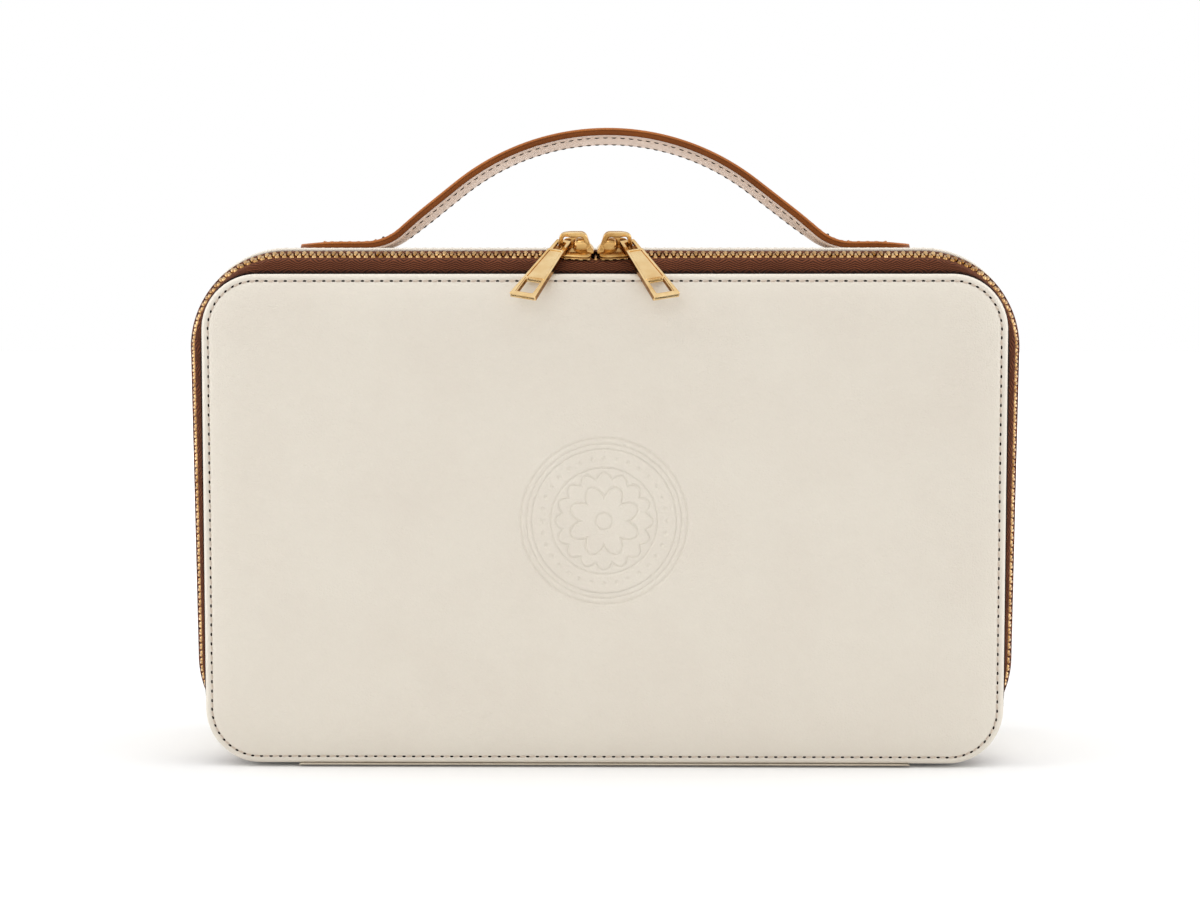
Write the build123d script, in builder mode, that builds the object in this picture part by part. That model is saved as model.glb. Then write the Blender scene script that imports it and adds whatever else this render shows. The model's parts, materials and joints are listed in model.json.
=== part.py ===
"""Zip-round clamshell case for mahjong tiles.

Frame: X across the case, Y from front to back, +Z up.  The origin is on the
table under the middle of the case.  Lengths are in millimetres.
"""

import os
from math import cos, radians, sin, tan

from build123d import *

# --- Whole case -------------------------------------------------------------
case_depth = 80.0
spine_side_setback = 40.7
spine_thickness = 1.4
spine_front_inset = 1.0
spine_rear_reach = 46.0
leather_thickness = 1.2
seat_gap = 0.1

# --- Front cover panel ------------------------------------------------------
panel_side_gap = 6.7
panel_top_gap = 10.0
panel_corner = 20.0
panel_thickness = 6.5
panel_edge_bevel = 2.2
board_thickness = 2.4
lining_thickness = 0.6
lining_inset = 3.4

# --- Deep back shell: sides lean in a little towards the table --------------
shell_width = 303.4
shell_height = 187.5
shell_side_lean = 2.3
shell_top_corner = 34.0
shell_low_corner = 34.0
frame_wall = 2.0
frame_setback = 1.4
shell_lining_setback = 3.0
back_panel_thickness = 3.0
back_edge_bevel = 1.6

# --- Zip: chain, tapes, teeth ----------------------------------------------
chain_setback = 14.0
chain_recess = 0.4
chain_tilt = 30.0
tape_thickness = 0.8
tape_reach = 5.6
tape_seam_inset = 0.8
tape_bend = 5.4
tape_end_gap = 1.5
tape_end_height = 12.0
tooth_pitch = 2.7
tooth_thickness = 2.4
tooth_root = 2.6
tooth_head = 0.6
tooth_root_width = 1.5
tooth_head_width = 1.0
tooth_seat = 0.15
stop_width = 3.0
stop_thickness = 2.8

# --- Sliders and pulls ------------------------------------------------------
meeting_x = -3.2
slider_gap = 2.9
slider_length = 14.2
slider_shoulder = 4.0
slider_plate = 1.2
channel_half_height = 1.45
channel_clearance = 0.25
lip_width = 0.75
lip_height = 0.6
tooth_spread = 1.3
post_width = 0.9
post_start = 0.8
post_length = 4.4
post_straight = 2.6
crown_span = 10.0
crown_taper = 0.8
crown_bar = 1.3
crown_round = 2.4
crown_leg = 1.2
crown_width = 1.6
crown_inner_height = 5.6
pull_length = 35.0
pull_tip_width = 10.4
pull_eye_width = 5.8
pull_thickness = 1.4
pull_eye_bar = 1.4
pull_eye_opening = (3.4, 5.0)
pull_window = (6.2, 8.0)
pull_tip_bar = 1.9
pull_recess_rim = 1.3
pull_recess_depth = 0.25
pull_slope = 40.0
pull_splay = 23.6
pull_twist = 8.0
pull_pivot_rise = 2.1
pull_pivot_outboard = 3.1
pull_play = 0.3

# --- Handle strap -----------------------------------------------------------
handle_setback = 45.0
handle_end_setback = 36.1
strap_width = 20.0
strap_leather = 2.9
strap_lining = 0.7
tab_length_left = 33.6
tab_length_right = 30.5
slope_left = 38.9
slope_right = 37.9
foot_radius = 20.0
arch_radius = 89.5
strap_lean = 4.0
strap_split_rise = 7.5
split_gap = 0.2
tongue_radius = 9.0

# --- Tile tray and lid pocket ----------------------------------------------
tile_length = 30.0
tile_width = 22.0
tile_thickness = 13.2
tiles_across = 2
tiles_high = 10
tiles_deep = 2
tile_play = 2.0
well_columns = 4
well_wall = 4.0
well_low = 20.0
tray_floor = 2.4
tray_clearance = 0.3
accessory_height = 20.0
pocket_width = 236.0
pocket_height = 104.0
pocket_low = 16.0
pocket_corner = 12.0
pocket_fullness = 2.6
pocket_skin = 0.8
pocket_seam = 3.0
binding_height = 6.0
binding_thickness = 1.2

# --- Worked out from the sizes above ----------------------------------------
front = -case_depth / 2
back = case_depth / 2
spine_width = shell_width - 2 * spine_side_setback
panel_width = shell_width - 2 * panel_side_gap
panel_height = shell_height - panel_top_gap
panel_low = spine_thickness
panel_back = front + panel_thickness
chain_y = front + chain_setback
tilt_cos = cos(radians(chain_tilt))
tilt_sin = sin(radians(chain_tilt))
chain_inset = tape_reach * tilt_sin + chain_recess
shell_front = chain_y + tape_reach * tilt_cos + tooth_seat
gusset_back = back - back_panel_thickness
frame_front = shell_front + frame_setback
frame_inset = leather_thickness + seat_gap
frame_back = gusset_back - seat_gap
lining_front = frame_front + shell_lining_setback
lining_outer_inset = frame_inset + frame_wall + seat_gap
lining_back = frame_back - board_thickness - seat_gap
tray_inset = lining_outer_inset + lining_thickness + tray_clearance
tray_back = lining_back - lining_thickness - tray_clearance
well_depth = tiles_deep * tile_width
tray_front = tray_back - tray_floor - well_depth
well_width = tiles_across * tile_length + 2 * tile_play
well_height = tiles_high * tile_thickness
shell_top = spine_thickness + shell_height
chain_top = shell_top - chain_inset
chain_half_top = shell_width / 2 - chain_inset
chain_half_low = chain_half_top - shell_side_lean
chain_low = spine_thickness + chain_inset
zip_end = spine_width / 2 + tape_end_gap + stop_width / 2
chain_out = Vector(0, -tilt_sin, tilt_cos)
chain_rear = Vector(0, tilt_cos, tilt_sin)
handle_y = front + handle_setback
half_length = shell_width / 2 - handle_end_setback
foot_left = tab_length_left - half_length
foot_right = half_length - tab_length_right
strap_total = strap_leather + strap_lining
strap_mid = shell_top + strap_total / 2
strap_axis = strap_mid + strap_split_rise
split_left = foot_left + strap_split_rise / tan(radians(slope_left))
split_right = foot_right - strap_split_rise / tan(radians(slope_right))
spread_start = slider_gap / 2 + slider_length
spread_full = slider_gap / 2 + slider_shoulder

os.makedirs("parts", exist_ok=True)


def save(name, piece):
    """Label a finished piece and write it as a node of its own."""
    piece.part.label = name
    export_step(piece.part, f"parts/{name}.step")


def depth_plane(y):
    """Upright plane at depth y, seen from the front: X right, Z up."""
    return Plane.XZ.offset(-y)


def rounded_outline(half_top, half_low, low, top, corner_top, corner_low):
    """Face of a four-sided outline with rounded corners, on the open sketch."""
    corners = [(-half_low, low), (-half_top, top), (half_top, top), (half_low, low)]
    with BuildLine() as edge:
        FilletPolyline(*corners, radius=[corner_low, corner_top, corner_top, corner_low], close=True)
    make_face(edge.edges())


def shell_outline(inset):
    """Outline of the back shell, drawn in by inset."""
    half = shell_width / 2 - inset
    rounded_outline(
        half,
        half - shell_side_lean,
        spine_thickness + inset,
        shell_top - inset,
        shell_top_corner - inset,
        shell_low_corner - inset,
    )


def chain_outline(grow):
    """Outline through the middle of the chain, grown outwards by grow."""
    shell_outline(chain_inset - grow)


def panel_outline(inset):
    """Outline of the front cover panel, drawn in by inset."""
    half = panel_width / 2 - inset
    top = panel_low + panel_height - inset
    corner = panel_corner - inset
    rounded_outline(half, half, panel_low + inset, top, corner, corner)


def spread(x):
    """How far each row of teeth stands off the chain's middle at x, between the sliders."""
    share = (spread_start - abs(x - meeting_x)) / (spread_start - spread_full)
    return tooth_spread * min(max(share, 0), 1)


# --- Front cover ------------------------------------------------------------
with BuildPart() as lid_leather:
    with BuildSketch(depth_plane(front)):
        panel_outline(0)
    extrude(amount=-panel_thickness)
    chamfer(lid_leather.faces().sort_by(Axis.Y)[0].edges(), length=panel_edge_bevel)
    with BuildSketch(depth_plane(front + leather_thickness)):
        panel_outline(leather_thickness)
    extrude(amount=-panel_thickness, mode=Mode.SUBTRACT)
save("lid_leather", lid_leather)

foam_front = front + leather_thickness + seat_gap
board_front = panel_back - board_thickness
with BuildPart() as lid_foam:
    with BuildSketch(depth_plane(foam_front)):
        panel_outline(leather_thickness + seat_gap)
    extrude(amount=foam_front - board_front + seat_gap)
save("lid_foam", lid_foam)

with BuildPart() as lid_board:
    with BuildSketch(depth_plane(board_front)):
        panel_outline(leather_thickness + seat_gap)
    extrude(amount=-board_thickness)
save("lid_board", lid_board)

with BuildPart() as lid_lining:
    with BuildSketch(depth_plane(panel_back + seat_gap)):
        panel_outline(lining_inset)
    extrude(amount=-lining_thickness)
save("lid_lining", lid_lining)

# Slip pocket on the lining: a full front skin on a seam round three sides.
pocket_front = panel_back + 2 * seat_gap + lining_thickness
pocket_top = pocket_low + pocket_height
pocket_back = pocket_front + pocket_fullness + pocket_skin
with BuildPart() as lid_pocket:
    with BuildSketch(depth_plane(pocket_front)) as pocket_face:
        with Locations((0, pocket_low + pocket_height / 2)):
            Rectangle(pocket_width, pocket_height)
        fillet(pocket_face.vertices().group_by(Axis.Z)[0], radius=pocket_corner)
    extrude(amount=-(pocket_fullness + pocket_skin))
    with BuildSketch(depth_plane(pocket_front)) as pocket_room:
        with Locations((0, pocket_low + pocket_seam + pocket_height / 2)):
            Rectangle(pocket_width - 2 * pocket_seam, pocket_height)
        fillet(pocket_room.vertices().group_by(Axis.Z)[0], radius=pocket_corner - pocket_seam)
    extrude(amount=-pocket_fullness, mode=Mode.SUBTRACT)
save("lid_pocket", lid_pocket)

with BuildPart() as pocket_binding:
    with BuildSketch(depth_plane(pocket_back + seat_gap)):
        with Locations((0, pocket_top - binding_height / 2)):
            Rectangle(pocket_width, binding_height)
    extrude(amount=-binding_thickness)
save("pocket_binding", pocket_binding)

# --- Zip tapes --------------------------------------------------------------
root_reach = tooth_root + tooth_seat + tape_thickness / 2 * tilt_sin
tape_half = tape_thickness / 2


def tape_band(sections, thickness=tape_thickness):
    """Thin band through outlines given as (depth, draw outline, grow of its outer face)."""
    for skin, mode in ((0, Mode.ADD), (thickness, Mode.SUBTRACT)):
        for pair in zip(sections, sections[1:]):
            ends = []
            for y, draw, grow in pair:
                with BuildSketch(depth_plane(y)) as end:
                    draw(grow - skin)
                ends.append(end.sketch)
            loft(ends, ruled=True, mode=mode)


def open_at_spine():
    """Take the band away where the spine strip closes the bottom."""
    with Locations((0, chain_y, chain_low)):
        Box(spine_width + 2 * tape_end_gap, case_depth, tape_end_height, mode=Mode.SUBTRACT)


def spread_notch(side):
    """Clear the tape's edge for the teeth that stand apart between the sliders."""
    top_run = Plane(origin=(meeting_x, chain_y, chain_top), x_dir=(1, 0, 0), z_dir=chain_out)
    reach = root_reach
    with BuildSketch(top_run) as notch:
        Polygon(
            (-spread_start, 0),
            (-spread_start, side * reach),
            (-spread_full, side * (reach + tooth_spread)),
            (spread_full, side * (reach + tooth_spread)),
            (spread_start, side * reach),
            (spread_start, 0),
            align=None,
        )
    extrude(notch.sketch, amount=tooth_root, both=True, mode=Mode.SUBTRACT)


with BuildPart() as front_zip_tape:
    tape_band(
        [
            (panel_back + seat_gap, lambda grow: panel_outline(-grow), -tape_seam_inset),
            (chain_y - tape_bend * tilt_cos, chain_outline, tape_half - tape_bend * tilt_sin),
            (chain_y - root_reach * tilt_cos, chain_outline, tape_half - root_reach * tilt_sin),
        ]
    )
    open_at_spine()
    spread_notch(-1)
save("front_zip_tape", front_zip_tape)

with BuildPart() as rear_zip_tape:
    tape_band(
        [
            (chain_y + root_reach * tilt_cos, chain_outline, tape_half + root_reach * tilt_sin),
            (chain_y + tape_reach * tilt_cos, chain_outline, tape_half + tape_reach * tilt_sin),
        ]
    )
    open_at_spine()
    spread_notch(1)
save("rear_zip_tape", rear_zip_tape)

# --- Zip teeth --------------------------------------------------------------
with BuildLine(depth_plane(chain_y)) as chain_line:
    FilletPolyline(
        (-zip_end, chain_low),
        (-chain_half_low, chain_low),
        (-chain_half_top, chain_top),
        (chain_half_top, chain_top),
        (chain_half_low, chain_low),
        (zip_end, chain_low),
        radius=[
            shell_low_corner - chain_inset,
            shell_top_corner - chain_inset,
            shell_top_corner - chain_inset,
            shell_low_corner - chain_inset,
        ],
    )
chain_wire = chain_line.wires()[0]
chain_length = chain_wire.length


def chain_plane(run, side=0):
    """Plane on the chain at a run along it: x along, y to the rear, z outwards."""
    point = chain_wire.position_at(run / chain_length)
    along = chain_wire.tangent_at(run / chain_length)
    outward = Vector(-along.Z, 0, along.X)
    rear = Vector(0, tilt_cos, 0) + outward * tilt_sin
    out = outward * tilt_cos - Vector(0, tilt_sin, 0)
    stand_off = spread(point.X) if outward.Z > tilt_sin else 0
    return Plane(origin=point + rear * (side * stand_off), x_dir=along, z_dir=out)


def tooth_row(side, first_run):
    """One row of teeth: side -1 is the front row, +1 the rear row."""
    count = int((chain_length - stop_width - 2 * first_run) / tooth_pitch)
    runs = [first_run + stop_width / 2 + tooth_pitch * k for k in range(count + 1)]
    with BuildSketch(*[chain_plane(run, side).offset(-tooth_thickness / 2) for run in runs]) as row:
        Polygon(
            (-tooth_root_width / 2, side * tooth_root),
            (tooth_root_width / 2, side * tooth_root),
            (tooth_head_width / 2, -side * tooth_head),
            (-tooth_head_width / 2, -side * tooth_head),
            align=None,
        )
    extrude(row.sketch, amount=tooth_thickness, clean=False)


def end_stops(side):
    """Clamped stops on the two ends of one row."""
    with BuildSketch(chain_plane(0), chain_plane(chain_length)) as stops:
        with Locations((0, side * (tooth_root + seat_gap) / 2)):
            Rectangle(stop_width, tooth_root - seat_gap)
    extrude(stops.sketch, amount=stop_thickness / 2, both=True)


first_tooth = tooth_pitch
with BuildPart() as front_teeth:
    tooth_row(-1, first_tooth)
save("front_teeth", front_teeth)

with BuildPart() as rear_teeth:
    tooth_row(1, first_tooth + tooth_pitch / 2)
save("rear_teeth", rear_teeth)

with BuildPart() as front_end_stops:
    end_stops(-1)
save("front_end_stops", front_end_stops)

with BuildPart() as rear_end_stops:
    end_stops(1)
save("rear_end_stops", rear_end_stops)

# --- Sliders ----------------------------------------------------------------
channel_narrow = tooth_root + channel_clearance
channel_wide = channel_narrow + tooth_spread
plate_top = channel_half_height + slider_plate


def slider_origin(side):
    """Middle of a slider on the chain's top run."""
    reach = slider_gap / 2 + slider_length / 2
    return Vector(meeting_x + side * reach, chain_y, chain_top)


def slider_plane(side, height=0.0):
    """Plane along the chain through a slider, lifted by height."""
    return Plane(origin=slider_origin(side) + chain_out * height, x_dir=(1, 0, 0), z_dir=chain_out)


def slider_face(side, extra, mode=Mode.ADD):
    """Shape of the channel grown sideways by extra, its wide end to the middle."""
    wide, narrow, end = channel_wide + extra, channel_narrow + extra, slider_length / 2
    shoulder = -end + slider_shoulder
    Polygon(
        (-side * end, -wide),
        (side * shoulder, -wide),
        (side * end, -narrow),
        (side * end, narrow),
        (side * shoulder, wide),
        (-side * end, wide),
        align=None,
        mode=mode,
    )


def slider_body(side):
    """Two plates with lips, joined by the post that parts the rows."""
    for level in (-plate_top, channel_half_height):
        with BuildSketch(slider_plane(side, level)) as plate:
            slider_face(side, lip_width)
            fillet(plate.vertices(), radius=lip_width)
        extrude(plate.sketch, amount=slider_plate)
    for level in (-channel_half_height, channel_half_height - lip_height):
        with BuildSketch(slider_plane(side, level)) as lips:
            slider_face(side, lip_width)
            fillet(lips.vertices(), radius=lip_width)
            slider_face(side, 0, Mode.SUBTRACT)
        extrude(lips.sketch, amount=lip_height)
    blunt = -slider_length / 2 + post_start
    taper = blunt + post_straight
    with BuildSketch(slider_plane(side, -channel_half_height)) as post:
        Polygon(
            (side * blunt, -post_width / 2),
            (side * taper, -post_width / 2),
            (side * (blunt + post_length), 0),
            (side * taper, post_width / 2),
            (side * blunt, post_width / 2),
            align=None,
        )
    extrude(post.sketch, amount=2 * channel_half_height)


def slider_crown(side):
    """Arch over the top plate that the pull hooks round."""
    base, inner_top = plate_top, plate_top + crown_inner_height
    outer, top = crown_span / 2, inner_top + crown_bar
    inner = outer - crown_leg
    with BuildSketch(Plane(origin=slider_origin(side), x_dir=(1, 0, 0), z_dir=-chain_rear)) as arch:
        Polygon((-outer, base), (outer, base), (outer - crown_taper, top), (crown_taper - outer, top), align=None)
        fillet(arch.vertices().group_by(Axis.Y)[-1], radius=crown_round)
        shoulder = inner - crown_taper / 2
        Polygon(
            (-inner, base),
            (inner, base),
            (shoulder, inner_top),
            (-shoulder, inner_top),
            align=None,
            mode=Mode.SUBTRACT,
        )
        fillet(arch.vertices().filter_by_position(Axis.Y, inner_top, inner_top), radius=crown_round - crown_bar)
    extrude(arch.sketch, amount=crown_width / 2, both=True)


def pull_plane(side):
    """Plane of a pull: origin on its swing axis, x across, y back up the pull."""
    splay, slope, twist = radians(pull_splay), radians(pull_slope), radians(pull_twist)
    along = Vector(side * sin(splay), -cos(splay) * cos(slope), -cos(splay) * sin(slope))
    across = (Vector(1, 0, 0) - along * along.X).normalized()
    face = along.cross(across)
    across = across * cos(twist) - face * (side * sin(twist))
    behind = crown_width / 2 + pull_play + pull_eye_bar / 2
    pivot = (
        slider_origin(side)
        + Vector(side * pull_pivot_outboard, 0, 0)
        + chain_rear * behind
        + chain_out * (plate_top + pull_pivot_rise)
    )
    return Plane(origin=pivot, x_dir=across, z_dir=along.cross(across))


def pull_half(distance):
    """Half width of the pull at a distance from its swing axis."""
    return (pull_eye_width + (pull_tip_width - pull_eye_width) * distance / pull_length) / 2


def round_pull_bar(middle):
    """Take the corners off the bar that turns on the crown."""
    with BuildSketch(Plane(origin=middle.origin, x_dir=middle.y_dir, z_dir=middle.x_dir)) as corners:
        Rectangle(pull_eye_bar, pull_thickness)
        RegularPolygon(pull_eye_bar / 2, 8, major_radius=False, rotation=22.5, mode=Mode.SUBTRACT)
    extrude(corners.sketch, amount=pull_eye_width, both=True, mode=Mode.SUBTRACT)


def pull_tab(side):
    """Flared flat pull with an eye, a recessed face and an open window."""
    end, tip = pull_eye_bar / 2, pull_length - pull_eye_bar / 2
    eye_width, eye_length = pull_eye_opening
    window_width, window_length = pull_window
    window_far = tip - pull_tip_bar
    window_near = window_far - window_length
    face_near = end + eye_length + pull_recess_rim
    face_far = window_near - pull_recess_rim
    rim_near, rim_far = pull_half(face_near) - pull_recess_rim, pull_half(face_far) - pull_recess_rim
    middle = pull_plane(side)
    with BuildSketch(middle.offset(-pull_thickness / 2)) as blank:
        Polygon(
            (-pull_half(0), end), (pull_half(0), end), (pull_half(tip), -tip), (-pull_half(tip), -tip), align=None
        )
        fillet(blank.vertices(), radius=pull_eye_bar / 2)
        with Locations((0, -end - eye_length / 2)):
            Rectangle(eye_width, eye_length, mode=Mode.SUBTRACT)
        with Locations((0, -window_far + window_length / 2)):
            Rectangle(window_width, window_length, mode=Mode.SUBTRACT)
    extrude(blank.sketch, amount=pull_thickness)
    with BuildSketch(middle.offset(pull_thickness / 2)) as recess:
        Polygon(
            (-rim_near, -face_near), (rim_near, -face_near), (rim_far, -face_far), (-rim_far, -face_far), align=None
        )
    extrude(recess.sketch, amount=-pull_recess_depth, mode=Mode.SUBTRACT)
    round_pull_bar(middle)


for side, word in ((-1, "left"), (1, "right")):
    with BuildPart() as body:
        slider_body(side)
    save(f"slider_{word}_body", body)
    with BuildPart() as crown:
        slider_crown(side)
    save(f"slider_{word}_crown", crown)
    with BuildPart() as pull:
        pull_tab(side)
    save(f"pull_{word}", pull)

# --- Back shell -------------------------------------------------------------
with BuildPart() as shell_gusset:
    with BuildSketch(depth_plane(shell_front)):
        shell_outline(0)
    extrude(amount=shell_front - gusset_back)
    with BuildSketch(depth_plane(shell_front)):
        shell_outline(leather_thickness)
    extrude(amount=shell_front - gusset_back, mode=Mode.SUBTRACT)
save("shell_gusset", shell_gusset)

with BuildPart() as back_panel:
    with BuildSketch(depth_plane(gusset_back)):
        shell_outline(0)
    extrude(amount=-back_panel_thickness)
    chamfer(back_panel.faces().sort_by(Axis.Y)[-1].edges(), length=back_edge_bevel)
save("back_panel", back_panel)

with BuildPart() as shell_frame:
    with BuildSketch(depth_plane(frame_front)):
        shell_outline(frame_inset)
    extrude(amount=frame_front - frame_back)
    with BuildSketch(depth_plane(frame_front)):
        shell_outline(frame_inset + frame_wall)
    extrude(amount=frame_front - frame_back + board_thickness, mode=Mode.SUBTRACT)
save("shell_frame", shell_frame)

with BuildPart() as shell_lining:
    with BuildSketch(depth_plane(lining_front)):
        shell_outline(lining_outer_inset)
    extrude(amount=lining_front - lining_back)
    with BuildSketch(depth_plane(lining_front)):
        shell_outline(lining_outer_inset + lining_thickness)
    extrude(amount=lining_front - lining_back + lining_thickness, mode=Mode.SUBTRACT)
save("shell_lining", shell_lining)

wells_width = well_columns * well_width + (well_columns - 1) * well_wall
accessory_width = (wells_width - well_wall) / 2
accessory_inset = well_wall * 2
accessory_low = well_low + well_height + well_wall
with BuildPart() as tile_tray:
    with BuildSketch(depth_plane(tray_front)):
        shell_outline(tray_inset)
    extrude(amount=tray_front - tray_back)
    with BuildSketch(depth_plane(tray_front)):
        with Locations((0, well_low + well_height / 2)):
            with GridLocations(well_width + well_wall, 0, well_columns, 1):
                Rectangle(well_width, well_height)
        with Locations((0, accessory_low + accessory_height / 2)):
            with GridLocations(accessory_width - accessory_inset + well_wall, 0, 2, 1):
                Rectangle(accessory_width - accessory_inset, accessory_height)
    extrude(amount=-well_depth, mode=Mode.SUBTRACT)
save("tile_tray", tile_tray)

# --- Spine strip, in two leaves that meet under the fold --------------------
with BuildPart() as spine_front_leaf:
    leaf_start, leaf_end = front + spine_front_inset, chain_y - seat_gap
    with BuildSketch(Plane.XY):
        with Locations((0, (leaf_start + leaf_end) / 2)):
            Rectangle(spine_width, leaf_end - leaf_start)
    extrude(amount=spine_thickness)
save("spine_front_leaf", spine_front_leaf)

with BuildPart() as spine_rear_leaf:
    leaf_start, leaf_end = chain_y + seat_gap, chain_y + spine_rear_reach
    with BuildSketch(Plane.XY):
        with Locations((0, (leaf_start + leaf_end) / 2)):
            Rectangle(spine_width, leaf_end - leaf_start)
    extrude(amount=spine_thickness)
save("spine_rear_leaf", spine_rear_leaf)

# --- Handle: one strap and its lining, arched between two sewn-down tabs ----
left_rise, right_rise = tan(radians(slope_left)), tan(radians(slope_right))
arch_x = (foot_right * right_rise + foot_left * left_rise) / (left_rise + right_rise)
arch_z = (arch_x - foot_left) * left_rise


def strap_run(plane, datum, thickness, height, low_x, high_x):
    """Strap swept on its path, kept between low_x and high_x."""
    with BuildPart() as run:
        with BuildLine(plane) as path:
            FilletPolyline(
                (-half_length, datum),
                (foot_left, datum),
                (arch_x, datum + arch_z),
                (foot_right, datum),
                (half_length, datum),
                radius=[foot_radius, arch_radius, foot_radius],
            )
        start = Plane(origin=path.line @ 0, x_dir=plane.z_dir, z_dir=path.line % 0)
        with BuildSketch(start):
            with Locations((0, height)):
                Rectangle(strap_width, thickness)
        sweep(path=path.wires()[0])
        split(bisect_by=Plane.YZ.offset(low_x), keep=Keep.TOP)
        split(bisect_by=Plane.YZ.offset(high_x), keep=Keep.BOTTOM)
    return run


leather_height = strap_lining / 2
lining_height = -(strap_leather + seat_gap) / 2
upright = depth_plane(handle_y)
leaning = Plane(
    origin=(0, handle_y, strap_axis),
    x_dir=(1, 0, 0),
    z_dir=(0, -cos(radians(strap_lean)), sin(radians(strap_lean))),
)
arch_low, arch_high = split_left + split_gap / 2, split_right - split_gap / 2
for name, thickness, height in (
    ("handle_strap", strap_leather, leather_height),
    ("handle_lining", strap_lining - seat_gap, lining_height),
):
    save(name, strap_run(leaning, -strap_split_rise, thickness, height, arch_low, arch_high))

for word, low_x, high_x in (
    ("left", -half_length, split_left - split_gap / 2),
    ("right", split_right + split_gap / 2, half_length),
):
    tab = strap_run(upright, strap_mid, strap_total, 0, low_x, high_x)
    with tab:
        tip = tab.edges().filter_by(Axis.Z).sort_by(lambda edge: -abs(edge.center().X))[:2]
        fillet(tip, radius=tongue_radius)
    save(f"handle_tab_{word}", tab)
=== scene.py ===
"""Looks of the zip-round tile case: leather, zip, pulls, strap, lining and light.

Lengths are millimetres in the row frame (X across, Y to the rear, Z up) and turn
into metres where a mesh is made.
"""

import json
import math

import bpy
import numpy as np
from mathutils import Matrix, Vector, noise

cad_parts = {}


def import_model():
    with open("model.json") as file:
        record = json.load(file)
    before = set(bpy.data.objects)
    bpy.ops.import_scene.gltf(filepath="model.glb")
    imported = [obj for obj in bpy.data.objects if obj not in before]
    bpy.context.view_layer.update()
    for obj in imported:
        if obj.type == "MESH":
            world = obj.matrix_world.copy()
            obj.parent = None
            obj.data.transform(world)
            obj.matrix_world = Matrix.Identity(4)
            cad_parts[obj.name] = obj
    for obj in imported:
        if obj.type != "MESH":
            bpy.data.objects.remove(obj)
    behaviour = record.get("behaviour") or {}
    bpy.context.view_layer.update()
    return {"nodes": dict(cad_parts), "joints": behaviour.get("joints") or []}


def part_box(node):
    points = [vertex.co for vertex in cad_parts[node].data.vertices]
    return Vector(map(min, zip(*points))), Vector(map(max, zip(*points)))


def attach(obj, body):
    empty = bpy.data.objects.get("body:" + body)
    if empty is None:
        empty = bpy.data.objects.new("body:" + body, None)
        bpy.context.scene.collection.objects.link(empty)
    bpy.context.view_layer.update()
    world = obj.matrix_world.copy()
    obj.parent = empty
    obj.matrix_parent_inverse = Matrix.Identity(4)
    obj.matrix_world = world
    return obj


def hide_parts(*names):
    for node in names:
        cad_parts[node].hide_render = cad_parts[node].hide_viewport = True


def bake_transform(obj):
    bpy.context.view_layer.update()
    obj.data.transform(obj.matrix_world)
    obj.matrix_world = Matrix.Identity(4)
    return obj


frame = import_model()

MM = 0.001

# --- Sizes shared with the solids ---
panel_corner = 20.0
shell_corner = 34.0
shell_side_lean = 2.3
leather_thickness = 1.2
seat_gap = 0.1
chain_setback = 14.0
chain_tilt = 30.0
chain_inset = 3.2
chain_side_inset = 1.5
chain_side_tilt = 16.0
chain_bow = 1.7
tape_half = 0.4
tape_bend = 5.4
tape_seam_inset = 0.8
tooth_pitch = 2.7
tooth_root = 2.6
tooth_head = 0.6
tooth_thickness = 2.3
root_reach = 2.95
stop_width = 3.0
meeting_x = -3.2
slider_gap = 2.9
slider_length = 14.2
slider_shoulder = 4.0
tooth_spread = 1.3
plate_top = 2.65
handle_y = 5.0
strap_width = 20.0
strap_leather = 2.9
strap_lining = 0.7
strap_split_rise = 7.5
strap_lean = 4.0
stitch_pitch = 3.4
stitch_inset = 2.6
stitch_slant = 9.0


# --- Outlines: points and outward normals in the (x, z) plane ---
def cosd(degrees):
    return math.cos(math.radians(degrees))


def sind(degrees):
    return math.sin(math.radians(degrees))


def smooth_step(t):
    t = np.clip(t, 0, 1)
    return t * t * (3 - 2 * t)


def unit(vector):
    vector = np.asarray(vector, float)
    return vector / np.linalg.norm(vector)


class Outline:
    """A run of points with normals to its left, and the distance along it."""

    def __init__(self, points, closed):
        self.points = np.asarray(points, float)
        self.closed = closed
        self.ring = np.vstack([self.points, self.points[:1]]) if closed else self.points
        steps = np.linalg.norm(np.diff(self.ring, axis=0), axis=1)
        self.distance = np.concatenate([[0], np.cumsum(steps)])
        self.length = self.distance[-1]

    def at(self, run):
        """Points at distances along the outline."""
        run = np.mod(run, self.length) if self.closed else np.clip(run, 0, self.length)
        return np.stack([np.interp(run, self.distance, self.ring[:, k]) for k in (0, 1)], axis=-1)

    def normal(self, run, reach=0.6):
        """Outward normals at distances along the outline."""
        ahead = self.at(np.asarray(run) + reach) - self.at(np.asarray(run) - reach)
        ahead = ahead / np.linalg.norm(ahead, axis=-1, keepdims=True)
        return np.stack([-ahead[..., 1], ahead[..., 0]], axis=-1)

    def spaced(self, count):
        """Evenly spaced points of the outline, and their normals."""
        run = np.linspace(0, self.length, count, endpoint=not self.closed)
        return self.at(run), self.normal(run)


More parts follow.
